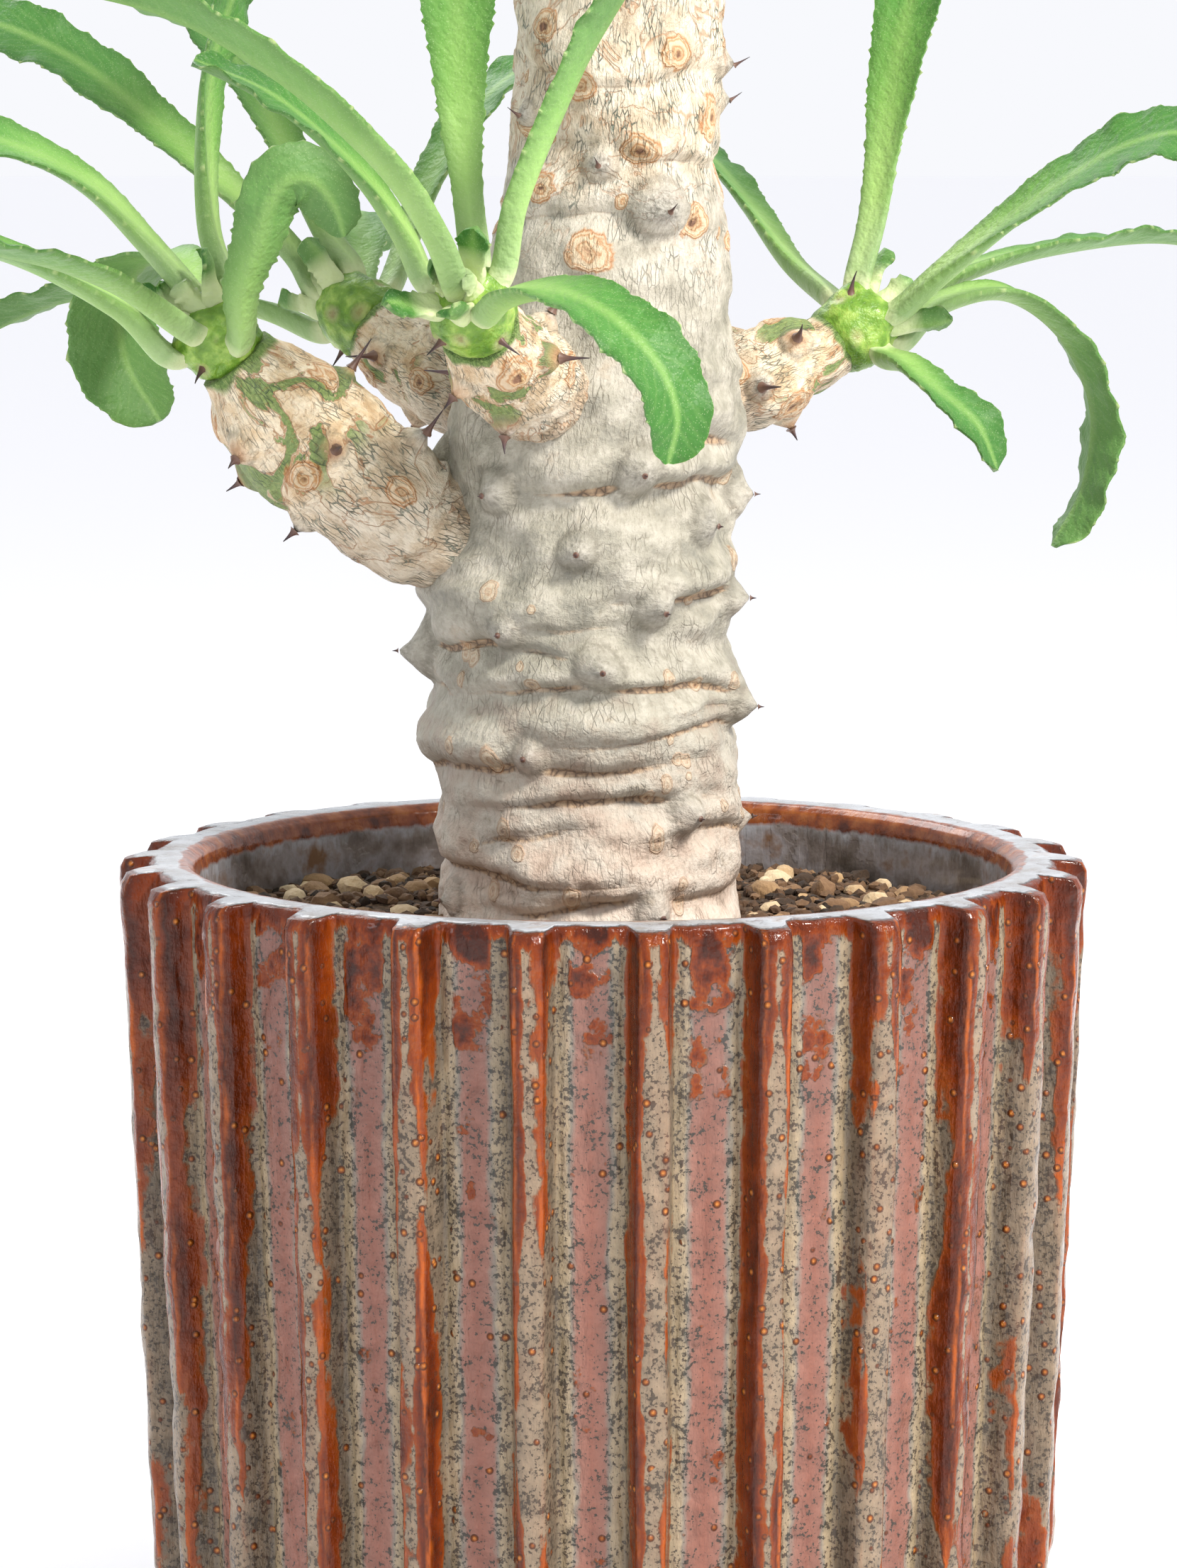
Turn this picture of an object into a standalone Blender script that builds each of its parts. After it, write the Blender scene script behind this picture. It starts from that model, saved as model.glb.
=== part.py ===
"""A potted euphorbia: a thick spiny stem with four short branches, in a ribbed glazed pot.

Metres, +Z up. The origin is the middle of the pot's foot, on the surface that it stands on.
The front of the plant faces -Y and its right side is at +X.
"""
import math
import random

import bmesh
import bpy
from mathutils import Matrix, Vector

# Space left between two pieces that touch
GAP = 0.0003

# Pot: a slightly tapered cup of glazed stoneware with upright ribs all round
POT_HEIGHT = 0.1307
POT_RIM_RADIUS = 0.075
POT_SHOULDER_RADIUS = 0.0709
POT_SHOULDER_HEIGHT = 0.020
POT_FOOT_RADIUS = 0.0515
POT_INNER_RADIUS = 0.0627
POT_INNER_SHOULDER_RADIUS = 0.0583
POT_INNER_FLOOR_RADIUS = 0.0455
POT_FLOOR = 0.009
RIB_COUNT = 26
RIB_DEPTH = 0.0047
RIB_FACE_WIDTH = 0.0050
RIB_ROOT_WIDTH = 0.0070
RIB_FIRST_TURN = math.radians(5.4)
# Rows in the lower corner: height and rib depth
POT_CORNER_ROWS = ((0.0025, 0.0012), (0.0090, 0.0034))
# Rows over the rolled rim: distance below its top, inset, rib depth and droop of the rib tips
POT_RIM_ROWS = (
    (0.0026, 0.0000, 0.0047, 0.0000), (0.0008, 0.0007, 0.0043, 0.0004),
    (0.0000, 0.0028, 0.0035, 0.0004),
)
POT_INNER_LIP = 0.0018
DRAIN_RADIUS = 0.0040
DRAIN_CIRCLE_RADIUS = 0.026
DRAIN_COUNT = 4
DRAIN_SIDES = 12
DRAIN_FIRST_TURN = math.radians(45.0)

# Soil: gritty potting mix a centimetre below the rim, with a plain hole for the root end
SOIL_TOP = 0.1207
SOIL_SIDES = 36
SOIL_RINGS = (0.0585, 0.0505, 0.0425, 0.0345, 0.0275)
SOIL_ROUGHNESS = 0.0007
SOIL_CLEARANCE = 0.0006
SOIL_FLOOR_INSET = 0.0012
SOIL_EDGE_DROP = 0.0012
GRAIN_COUNT = 28
GRAIN_SIZE = (0.0022, 0.0036)
GRAIN_REACH = (0.0300, 0.0560)
GRAIN_DEPTH_SHARE = (0.65, 0.90)
GRAIN_HEIGHT_SHARE = (0.55, 0.75)

# Stem: (height, middle in X, radius) up the trunk, from the soil to the top
TRUNK_PROFILE = (
    (0.080, -0.0020, 0.0230), (0.1215, -0.0020, 0.0234), (0.130, -0.0020, 0.0232),
    (0.141, -0.0027, 0.0230), (0.150, -0.0031, 0.0246), (0.158, -0.0029, 0.0240),
    (0.165, -0.0040, 0.0224), (0.172, -0.0040, 0.0238), (0.179, -0.0033, 0.0230),
    (0.187, -0.0024, 0.0216), (0.195, -0.0017, 0.0226), (0.203, -0.0012, 0.0223),
    (0.216, 0.0000, 0.0195), (0.227, 0.0010, 0.0173), (0.239, 0.0020, 0.0157),
    (0.262, 0.0022, 0.0152), (0.276, 0.0025, 0.0140), (0.288, 0.0028, 0.0112),
)
TRUNK_SIDES = 24
TRUNK_END_RADIUS = 0.0078
ROOT_RADIUS = 0.0234
ROOT_END = 0.080
# Creases round the trunk: height, depth, and the side where each is deepest, from the front
CREASES = (
    (0.1262, 0.0012, 40), (0.1312, 0.0016, -60), (0.1354, 0.0014, 70), (0.1401, 0.0018, 10),
    (0.1457, 0.0018, -30), (0.1508, 0.0014, 60), (0.1578, 0.0022, 20), (0.1631, 0.0020, -70),
    (0.1736, 0.0022, 60), (0.1890, 0.0026, 30), (0.2280, 0.0009, -20), (0.2390, 0.0011, 30),
    (0.2510, 0.0010, 0),
)
CREASE_HALF_WIDTH = 0.0021
CREASE_WAVE = 0.0011
# How much of a crease's depth is the same all round, the rest being deeper on its own side
CREASE_EVEN_SHARE = 0.62
# Heights between which the trunk leaves its round root and takes its own form
TRUNK_FREE = (0.1217, 0.1250)
CREASE_WAVE_END = (0.2550, 0.2850)
TRUNK_SWELLING = 0.0005
# Turns of the swellings and of the creases' wave per metre of height, in radians
SWELLING_RATE = 210.0
CREASE_WAVE_RATE = 95.0
TRUNK_ROOT_ROW = 0.1215
TRUNK_ROW_SPACING = 0.0080
TRUNK_LEAST_SPACING = 0.0012

# Branches: points along the middle and the radius at each, ending at the growing tip
BRANCHES = {
    "left": (
        ((-0.014, -0.003, 0.178), 0.0085), ((-0.027, -0.006, 0.182), 0.0092),
        ((-0.033, -0.008, 0.186), 0.0104), ((-0.040, -0.009, 0.192), 0.0108),
        ((-0.046, -0.010, 0.197), 0.0116), ((-0.0505, -0.0115, 0.202), 0.0102),
        ((-0.058, -0.014, 0.211), 0.0062),
    ),
    "back_left": (
        ((-0.010, 0.006, 0.197), 0.0072), ((-0.021, 0.014, 0.202), 0.0080),
        ((-0.027, 0.019, 0.205), 0.0086), ((-0.032, 0.022, 0.208), 0.0082),
        ((-0.039, 0.026, 0.213), 0.0062),
    ),
    "front": (
        ((-0.006, -0.010, 0.199), 0.0076), ((-0.0115, -0.024, 0.205), 0.0082),
        ((-0.0150, -0.035, 0.2086), 0.0085), ((-0.0168, -0.042, 0.2115), 0.0077),
        ((-0.019, -0.050, 0.216), 0.0060),
    ),
    "right": (
        ((0.008, 0.004, 0.199), 0.0066), ((0.022, 0.010, 0.203), 0.0074),
        ((0.029, 0.013, 0.206), 0.0078), ((0.033, 0.0145, 0.207), 0.0072),
        ((0.0395, 0.017, 0.211), 0.0052),
    ),
}
BRANCH_SIDES = 12
BRANCH_ROWS = 12
BRANCH_UNEVENNESS = 0.045
BRANCH_TWIST = 2.3
TRUNK_TIP = (0.0030, 0.0, 0.2985)

# Growing tips: green knobs at the branch ends, from which the leaves radiate
TIP_RADIUS = 0.0064
TOP_TIP_RADIUS = 0.0092
# Share of its radius that a tip's flat underside lies below its middle
TIP_SETBACK = 0.72
TIP_SEGMENTS = 12
TIP_RINGS = 8

# Tubercles on the trunk that the front shows: height, angle from the front, radius
TRUNK_TUBERCLES = (
    (0.2368, -8, 0.0024), (0.2299, 24, 0.0040), (0.1935, -86, 0.0024), (0.1886, -38, 0.0030),
    (0.1911, 19, 0.0030), (0.1802, -2, 0.0026), (0.1830, 55, 0.0028), (0.1613, -88, 0.0044),
    (0.1614, 7, 0.0032), (0.1665, -27, 0.0024), (0.1711, 30, 0.0028), (0.1378, 41, 0.0024),
    (0.1246, 25, 0.0026), (0.1260, -66, 0.0026), (0.1860, 88, 0.0030), (0.1720, 76, 0.0026),
    (0.1545, 80, 0.0026), (0.1475, -20, 0.0024),
)
# Tubercles on the trunk's other side, set on a spiral between two heights and two sides
BACK_TUBERCLES = 17
BACK_TUBERCLE_RADIUS = 0.0028
BACK_TUBERCLE_HEIGHTS = (0.130, 0.276)
BACK_TUBERCLE_SIDES = (110.0, 250.0)
BACK_TUBERCLE_SPREAD = (0.8, 1.2)
# Small ones on a spiral up the thin top of the trunk
UPPER_TUBERCLES = 6
UPPER_TUBERCLE_RADIUS = 0.0022
UPPER_TUBERCLE_HEIGHTS = (0.244, 0.280)
UPPER_TUBERCLE_TURN = -1.0
BRANCH_TUBERCLES = {"left": 9, "back_left": 5, "front": 6, "right": 5}
BRANCH_TUBERCLE_RADIUS = 0.0024
# Shares of a branch's length between which it has tubercles
BRANCH_TUBERCLE_REACH = (0.42, 0.93)
# How far tubercles point up the trunk, or along the branch, for each unit outward
TUBERCLE_LIFT = 0.12
TUBERCLE_SIDES = 5
TUBERCLE_SINK = 0.0022
# Shares of a tubercle's radius: its height, its root's spread, and its shoulder's rise and width
TUBERCLE_RISE = 0.75
TUBERCLE_ROOT_SPREAD = 1.35
TUBERCLE_SHOULDER = (0.54, 0.52)
SPINE_ROOT_RADIUS = 0.0007
SPINE_TIP_RADIUS = 0.00015
TRUNK_SPINE = 0.0017
BRANCH_SPINE = 0.0045
GOLDEN_ANGLE = math.radians(137.508)
GOLDEN_SHARE = 0.618

# Leaves: width, the way the upper face looks, and points along the midrib after the base
LEAVES = {
    "left": (
        (0.0125, (0.2, -0.3, 1.0), ((-0.0630, -0.0160, 0.2090), (-0.0719, -0.0220, 0.2158),
                                    (-0.0881, -0.0300, 0.2238), (-0.1080, -0.0365, 0.2270),
                                    (-0.1280, -0.0400, 0.2190))),
        (0.0125, (0.3, 0.2, 1.0), ((-0.0613, -0.0210, 0.2122), (-0.0704, -0.0380, 0.2195),
                                   (-0.0815, -0.0540, 0.2240), (-0.0950, -0.0660, 0.2260),
                                   (-0.1080, -0.0740, 0.2180))),
        (0.0130, (0.6, -0.4, 0.8), ((-0.0600, -0.0140, 0.2146), (-0.0682, -0.0120, 0.2249),
                                    (-0.0774, -0.0120, 0.2336), (-0.0898, -0.0140, 0.2396),
                                    (-0.1071, -0.0180, 0.2437), (-0.1235, -0.0220, 0.2390))),
        (0.0125, (1.0, -0.3, 0.1), ((-0.0562, -0.0140, 0.2170), (-0.0590, -0.0100, 0.2272),
                                    (-0.0600, -0.0060, 0.2418), (-0.0585, -0.0020, 0.2550),
                                    (-0.0530, 0.0060, 0.2690), (-0.0430, 0.0160, 0.2790))),
        (0.0096, (0.7, -0.9, 0.1), ((-0.0534, -0.0210, 0.2105), (-0.0534, -0.0280, 0.2189),
                                    (-0.0520, -0.0320, 0.2268), (-0.0490, -0.0345, 0.2340),
                                    (-0.0440, -0.0350, 0.2372), (-0.0385, -0.0345, 0.2345),
                                    (-0.0355, -0.0340, 0.2290))),
        (0.0170, (0.2, -0.6, 1.0), ((-0.0605, -0.0060, 0.2132), (-0.0649, 0.0080, 0.2212),
                                    (-0.0718, 0.0180, 0.2212), (-0.0765, 0.0240, 0.2140),
                                    (-0.0755, 0.0250, 0.2050), (-0.0700, 0.0230, 0.1960))),
    ),
    "back_left": (
        (0.0135, (0.4, -0.6, 0.8), ((-0.0425, 0.0270, 0.2150), (-0.0490, 0.0300, 0.2224),
                                    (-0.0586, 0.0320, 0.2318), (-0.0717, 0.0340, 0.2430),
                                    (-0.0850, 0.0360, 0.2530), (-0.1010, 0.0380, 0.2590),
                                    (-0.1150, 0.0385, 0.2560))),
        (0.0130, (0.7, -0.7, 0.4), ((-0.0395, 0.0275, 0.2170), (-0.0442, 0.0310, 0.2259),
                                    (-0.0507, 0.0380, 0.2386), (-0.0573, 0.0450, 0.2498),
                                    (-0.0670, 0.0530, 0.2620), (-0.0800, 0.0610, 0.2680))),
        (0.0120, (0.0, 0.2, 1.0), ((-0.0430, 0.0290, 0.2110), (-0.0543, 0.0370, 0.2135),
                                   (-0.0710, 0.0470, 0.2156), (-0.0892, 0.0550, 0.2143),
                                   (-0.1070, 0.0600, 0.2060))),
        (0.0130, (-0.6, -0.4, 0.6), ((-0.0350, 0.0290, 0.2160), (-0.0312, 0.0350, 0.2235),
                                     (-0.0269, 0.0420, 0.2342), (-0.0200, 0.0490, 0.2450),
                                     (-0.0110, 0.0560, 0.2520), (0.0000, 0.0610, 0.2520))),
        (0.0130, (0.1, -0.7, 0.8), ((-0.0385, 0.0330, 0.2140), (-0.0390, 0.0480, 0.2210),
                                    (-0.0400, 0.0650, 0.2270), (-0.0410, 0.0830, 0.2270),
                                    (-0.0410, 0.0980, 0.2200))),
    ),
    "front": (
        (0.0140, (0.4, -0.2, 1.0), ((-0.0210, -0.0560, 0.2200), (-0.0234, -0.0620, 0.2268),
                                    (-0.0286, -0.0675, 0.2350), (-0.0362, -0.0720, 0.2425),
                                    (-0.0450, -0.0760, 0.2495), (-0.0590, -0.0800, 0.2575),
                                    (-0.0760, -0.0840, 0.2610), (-0.0900, -0.0870, 0.2590))),
        (0.0110, (0.5, -0.3, 0.8), ((-0.0232, -0.0510, 0.2190), (-0.0280, -0.0520, 0.2262),
                                    (-0.0328, -0.0530, 0.2332), (-0.0398, -0.0540, 0.2405),
                                    (-0.0476, -0.0550, 0.2465), (-0.0576, -0.0550, 0.2510))),
        (0.0140, (0.0, -1.0, 0.2), ((-0.0185, -0.0470, 0.2210), (-0.0192, -0.0450, 0.2300),
                                    (-0.0203, -0.0430, 0.2420), (-0.0208, -0.0430, 0.2560),
                                    (-0.0208, -0.0450, 0.2720), (-0.0200, -0.0530, 0.2880),
                                    (-0.0190, -0.0640, 0.2970))),
        (0.0125, (-1.0, 0.2, 0.5), ((-0.0160, -0.0510, 0.2200), (-0.0125, -0.0545, 0.2315),
                                     (-0.0068, -0.0550, 0.2440), (-0.0005, -0.0565, 0.2560),
                                     (0.0080, -0.0620, 0.2680), (0.0190, -0.0690, 0.2750))),
        (0.0120, (-0.2, -0.2, 1.0), ((-0.0170, -0.0560, 0.2160), (-0.0133, -0.0700, 0.2188),
                                     (-0.0067, -0.0840, 0.2196), (0.0006, -0.0930, 0.2166),
                                     (0.0066, -0.0975, 0.2106), (0.0093, -0.0985, 0.2040),
                                     (0.0082, -0.0975, 0.1975))),
    ),
    "right": (
        (0.0125, (-0.5, -0.9, 0.2), ((0.0398, 0.0175, 0.2165), (0.0424, 0.0200, 0.2284),
                                    (0.0452, 0.0240, 0.2453), (0.0487, 0.0280, 0.2622),
                                    (0.0560, 0.0350, 0.2790), (0.0670, 0.0430, 0.2890))),
        (0.0145, (-0.3, -0.6, 0.9), ((0.0440, 0.0145, 0.2130), (0.0510, 0.0100, 0.2188),
                                     (0.0602, 0.0060, 0.2262), (0.0697, 0.0020, 0.2332),
                                     (0.0795, -0.0020, 0.2390), (0.0890, -0.0060, 0.2405),
                                     (0.0965, -0.0080, 0.2340))),
        (0.0125, (-0.1, 0.1, 1.0), ((0.0432, 0.0215, 0.2125), (0.0570, 0.0350, 0.2190),
                                    (0.0741, 0.0470, 0.2228), (0.0940, 0.0570, 0.2241),
                                    (0.1130, 0.0630, 0.2180))),
        (0.0110, (-0.2, -0.2, 1.0), ((0.0455, 0.0190, 0.2090), (0.0530, 0.0250, 0.2145),
                                     (0.0643, 0.0330, 0.2160), (0.0744, 0.0400, 0.2087),
                                     (0.0799, 0.0440, 0.1966), (0.0786, 0.0450, 0.1841),
                                     (0.0734, 0.0440, 0.1745))),
        (0.0085, (0.1, -0.3, 1.0), ((0.0430, 0.0125, 0.2075), (0.0465, 0.0060, 0.2060),
                                    (0.0510, 0.0010, 0.2020), (0.0567, -0.0020, 0.1969),
                                    (0.0600, -0.0025, 0.1900))),
        (0.0125, (0.6, -0.3, 0.8), ((0.0365, 0.0215, 0.2150), (0.0299, 0.0330, 0.2210),
                                    (0.0240, 0.0450, 0.2290), (0.0175, 0.0580, 0.2370),
                                    (0.0090, 0.0720, 0.2430), (-0.0010, 0.0840, 0.2430))),
    ),
}
# Leaves of the top rosette, which follow one spiral rule
TOP_LEAVES = 10
TOP_LEAF_LENGTH = (0.066, 0.092)
TOP_LEAF_WIDTH = 0.0135
TOP_LEAF_RISE = (8.0, 68.0)
TOP_LEAF_BEND = 40.0
TOP_LEAF_BEND_POWER = 1.6
TOP_LEAF_STEPS = 6
TOP_LEAF_TURN = 0.4
# How far a top leaf's upper face leans back from straight up
TOP_LEAF_LEAN = 0.2

# Leaf blade: thick and channelled near the base, thin and toothed further out
LEAF_LAUNCH = 0.0035
STALK_HALF_WIDTH = 0.0022
STALK_THICKNESS = 0.0032
STALK_EDGE = 0.0016
BLADE_THICKNESS = 0.0013
BLADE_EDGE = 0.0008
BLADE_CHANNEL = 0.0012
BLADE_CHANNEL_HALF_WIDTH = 0.0040
TOOTH_DEPTH = 0.0007
EDGE_WAVE = 0.0009
EDGE_WAVE_RATE = 17.0
EDGE_WAVE_SKEW = 1.7
STALK_ROWS = (0.0, 0.09, 0.22)
BLADE_START = 0.34
BLADE_ROWS = 11
TIP_START = 0.80
TIP_HALF_WIDTH = 0.0014
# Shares of a leaf's length between which it widens, thins and begins to wave
WIDENING = (0.12, 0.72)
THINNING = (0.05, 0.55)
WAVING = (0.35, 0.55)
# Pieces of curve between two given points of a path
CURVE_PIECES = 16


def clear_scene():
    """Take every object out of the open file."""
    for thing in list(bpy.data.objects):
        bpy.data.objects.remove(thing, do_unlink=True)


def principled(name, colour, roughness):
    """A plain Principled material."""
    material = bpy.data.materials.new(name)
    material.use_nodes = True
    shader = material.node_tree.nodes["Principled BSDF"]
    shader.inputs["Base Color"].default_value = (*colour, 1.0)
    shader.inputs["Roughness"].default_value = roughness
    shader.inputs["Metallic"].default_value = 0.0
    return material


def add_object(name, bm, material, smooth_angle=40.0):
    """Make one named object of a bmesh, shaded smooth below the given angle."""
    mesh = bpy.data.meshes.new(name)
    bm.to_mesh(mesh)
    bm.free()
    mesh.materials.append(material)
    mesh.shade_smooth()
    mesh.set_sharp_from_angle(angle=math.radians(smooth_angle))
    thing = bpy.data.objects.new(name, mesh)
    bpy.context.scene.collection.objects.link(thing)
    return thing


def loft(rings):
    """Skin a closed body over rings of points, with a flat cap at each end."""
    bm = bmesh.new()
    loops = [[bm.verts.new(point) for point in ring] for ring in rings]
    for lower, upper in zip(loops, loops[1:]):
        for i in range(len(lower)):
            j = (i + 1) % len(lower)
            bm.faces.new((lower[i], lower[j], upper[j], upper[i]))
    bm.faces.new(reversed(loops[0]))
    bm.faces.new(loops[-1])
    bmesh.ops.recalc_face_normals(bm, faces=bm.faces)
    return bm


def blend(low, high, share):
    """The value that lies this share of the way from low to high."""
    return low + (high - low) * share


def ease(place, start, end):
    """A smooth step from 0 at the start to 1 at the end."""
    share = min(1.0, max(0.0, (place - start) / (end - start)))
    return share * share * (3.0 - 2.0 * share)


def along(table, position):
    """Read a table of (position, value, ...) rows, straight between its rows."""
    if position <= table[0][0]:
        return table[0][1:]
    for low, high in zip(table, table[1:]):
        if position <= high[0]:
            share = (position - low[0]) / (high[0] - low[0])
            return tuple(blend(a, b, share) for a, b in zip(low[1:], high[1:]))
    return table[-1][1:]


def smooth_path(points, steps):
    """Evenly spaced points on one smooth curve through the given ones."""
    knots = [Vector(p) for p in points]
    knots = [2 * knots[0] - knots[1], *knots, 2 * knots[-1] - knots[-2]]
    fine = []
    for a, b, c, d in zip(knots, knots[1:], knots[2:], knots[3:]):
        for k in range(CURVE_PIECES):
            t = k / CURVE_PIECES
            fine.append(0.5 * (2 * b + (c - a) * t + (2 * a - 5 * b + 4 * c - d) * t * t
                               + (3 * b - a - 3 * c + d) * t ** 3))
    fine.append(knots[-2])
    reach = [0.0]
    for low, high in zip(fine, fine[1:]):
        reach.append(reach[-1] + (high - low).length)
    result = []
    for step in steps:
        goal = step * reach[-1]
        k = max(i for i in range(len(fine) - 1) if reach[i] <= goal + 1e-12)
        share = (goal - reach[k]) / (reach[k + 1] - reach[k])
        result.append(fine[k].lerp(fine[k + 1], min(1.0, share)))
    return result


def frames_along(path, first_side):
    """Tangent, side and up at each point, carried along the path with no twist."""
    frames = []
    up = Vector(first_side)
    for i in range(len(path)):
        tangent = (path[min(i + 1, len(path) - 1)] - path[max(i - 1, 0)]).normalized()
        up = (up - tangent * up.dot(tangent)).normalized()
        frames.append((tangent, tangent.cross(up), up))
    return frames


def fuse(body, pieces):
    """Join the pieces to the body by one Boolean union, then take them away."""
    group = bpy.data.collections.new(body.name + "_pieces")
    for piece in pieces:
        bpy.context.scene.collection.objects.unlink(piece)
        group.objects.link(piece)
    bpy.context.scene.collection.children.link(group)
    union = body.modifiers.new("union", "BOOLEAN")
    union.operation = "UNION"
    union.operand_type = "COLLECTION"
    union.collection = group
    union.solver = "EXACT"
    apply_modifiers(body)
    for piece in pieces:
        bpy.data.objects.remove(piece, do_unlink=True)
    bpy.data.collections.remove(group)


def apply_modifiers(body):
    """Give the object the mesh that its modifiers make."""
    graph = bpy.context.evaluated_depsgraph_get()
    made = bpy.data.meshes.new_from_object(body.evaluated_get(graph), depsgraph=graph)
    body.modifiers.clear()
    body.data = made


def pot_ring(height, rib_radius, rib_depth, tip_drop=0.0):
    """One ring round the pot's outside: two corners on each rib's face and two at its root."""
    ring = []
    root_radius = rib_radius - rib_depth
    face = RIB_FACE_WIDTH / 2 / POT_RIM_RADIUS
    root = RIB_ROOT_WIDTH / 2 / (POT_RIM_RADIUS - RIB_DEPTH)
    corners = ((-root, root_radius, 0.0), (-face, rib_radius, tip_drop),
               (face, rib_radius, tip_drop), (root, root_radius, 0.0))
    for rib in range(RIB_COUNT):
        middle = RIB_FIRST_TURN + rib * math.tau / RIB_COUNT
        for offset, radius, drop in corners:
            angle = middle + offset - math.pi / 2
            ring.append(Vector((radius * math.cos(angle), radius * math.sin(angle), height - drop)))
    return ring


def shoulder_radius(height):
    """The rounded lower corner of the pot, an ellipse quarter from the foot to the shoulder."""
    drop = 1.0 - height / POT_SHOULDER_HEIGHT
    return blend(POT_FOOT_RADIUS, POT_SHOULDER_RADIUS, math.sqrt(1.0 - drop * drop))


def make_pot(material):
    """The ribbed cup, up the outside, over the rolled rim and down to its inner floor."""
    rings = [pot_ring(0.0, POT_FOOT_RADIUS, 0.0)]
    for height, depth in (*POT_CORNER_ROWS, (POT_SHOULDER_HEIGHT, RIB_DEPTH)):
        rings.append(pot_ring(height, shoulder_radius(height), depth))
    for below, inset, depth, droop in POT_RIM_ROWS:
        rings.append(pot_ring(POT_HEIGHT - below, POT_RIM_RADIUS - inset, depth, droop))
    rings.append(pot_ring(POT_HEIGHT, POT_INNER_RADIUS + POT_INNER_LIP, 0.0))
    rings.append(pot_ring(POT_HEIGHT - POT_INNER_LIP, POT_INNER_RADIUS, 0.0))
    rings.append(pot_ring(POT_SHOULDER_HEIGHT, POT_INNER_SHOULDER_RADIUS, 0.0))
    rings.append(pot_ring(POT_FLOOR, POT_INNER_FLOOR_RADIUS, 0.0))
    pot = add_object("pot", loft(rings), material)
    for number in range(DRAIN_COUNT):
        drill_hole(pot, DRAIN_FIRST_TURN + number * math.tau / DRAIN_COUNT)
    return pot


def drill_hole(pot, angle):
    """Cut one drain hole through the pot's floor, at this angle round it."""
    bm = bmesh.new()
    bmesh.ops.create_cone(bm, cap_ends=True, segments=DRAIN_SIDES, radius1=DRAIN_RADIUS,
                          radius2=DRAIN_RADIUS, depth=3 * POT_FLOOR)
    place = Vector((math.cos(angle), math.sin(angle), 0.0)) * DRAIN_CIRCLE_RADIUS
    bmesh.ops.translate(bm, verts=bm.verts, vec=place)
    cutter = add_object("drain_cutter", bm, pot.data.materials[0])
    cut = pot.modifiers.new("drain", "BOOLEAN")
    cut.operation = "DIFFERENCE"
    cut.object = cutter
    cut.solver = "EXACT"
    apply_modifiers(pot)
    bpy.data.objects.remove(cutter, do_unlink=True)


def round_ring(middle, radius, height, sides, bump=None):
    """A plain ring of points, with an optional height for each."""
    ring = []
    for i in range(sides):
        angle = i * math.tau / sides
        lift = bump() if bump else 0.0
        ring.append(Vector((middle + radius * math.cos(angle), radius * math.sin(angle), height + lift)))
    return ring


def inner_wall_radius(height):
    """The inside of the pot above its lower corner."""
    wall_top = POT_HEIGHT - POT_INNER_LIP
    share = (height - POT_SHOULDER_HEIGHT) / (wall_top - POT_SHOULDER_HEIGHT)
    return blend(POT_INNER_SHOULDER_RADIUS, POT_INNER_RADIUS, share)


def make_soil(material):
    """Soil that fills the pot, rough on top, with coarse grains standing out of it."""
    draw = random.Random(11)
    hole = ROOT_RADIUS + GAP
    root_middle = TRUNK_PROFILE[0][1]
    low = POT_INNER_FLOOR_RADIUS - SOIL_FLOOR_INSET
    corner = POT_INNER_SHOULDER_RADIUS - SOIL_CLEARANCE
    edge = inner_wall_radius(SOIL_TOP) - SOIL_CLEARANCE
    rings = [
        round_ring(0.0, low, POT_FLOOR + GAP, SOIL_SIDES),
        round_ring(0.0, corner, POT_SHOULDER_HEIGHT + GAP, SOIL_SIDES),
        round_ring(0.0, edge, SOIL_TOP - SOIL_EDGE_DROP, SOIL_SIDES),
    ]
    for radius in SOIL_RINGS:
        rings.append(round_ring(0.0, radius, SOIL_TOP, SOIL_SIDES,
                                lambda: draw.uniform(-SOIL_ROUGHNESS, SOIL_ROUGHNESS)))
    rings.append(round_ring(root_middle, hole, SOIL_TOP, SOIL_SIDES))
    rings.append(round_ring(root_middle, hole, ROOT_END - GAP, SOIL_SIDES))
    soil = add_object("soil", loft(rings), material)
    grains = []
    for number in range(GRAIN_COUNT):
        angle = number * GOLDEN_ANGLE
        reach = blend(*GRAIN_REACH, math.sqrt(draw.random()))
        size = draw.uniform(*GRAIN_SIZE)
        grain_bm = bmesh.new()
        bmesh.ops.create_icosphere(grain_bm, subdivisions=1, radius=size)
        turn = Matrix.Rotation(draw.uniform(0.0, math.tau), 4, "Z")
        depth = draw.uniform(*GRAIN_DEPTH_SHARE)
        height = draw.uniform(*GRAIN_HEIGHT_SHARE)
        squash = Matrix.Diagonal((1.0, depth, height, 1.0))
        place = Matrix.Translation((reach * math.cos(angle), reach * math.sin(angle), SOIL_TOP))
        bmesh.ops.transform(grain_bm, matrix=place @ turn @ squash, verts=grain_bm.verts)
        grains.append(add_object(f"grain_{number}", grain_bm, material))
    fuse(soil, grains)
    return soil


def trunk_surface(height, angle):
    """A point on the trunk's skin: its profile, the creases round it and slow swellings."""
    middle, radius = along(TRUNK_PROFILE, height)
    free = ease(height, *TRUNK_FREE)
    for crease, depth, side in CREASES:
        away = (height - crease) / CREASE_HALF_WIDTH
        facing = blend(math.cos(angle - math.radians(side)), 1.0, CREASE_EVEN_SHARE)
        radius -= free * depth * facing * math.exp(-away * away)
    radius += free * TRUNK_SWELLING * math.sin(3 * angle + height * SWELLING_RATE)
    wave = CREASE_WAVE * math.sin(angle + height * CREASE_WAVE_RATE)
    wave *= free * (1.0 - ease(height, *CREASE_WAVE_END))
    return Vector((middle + radius * math.sin(angle), -radius * math.cos(angle), height + wave))


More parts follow.
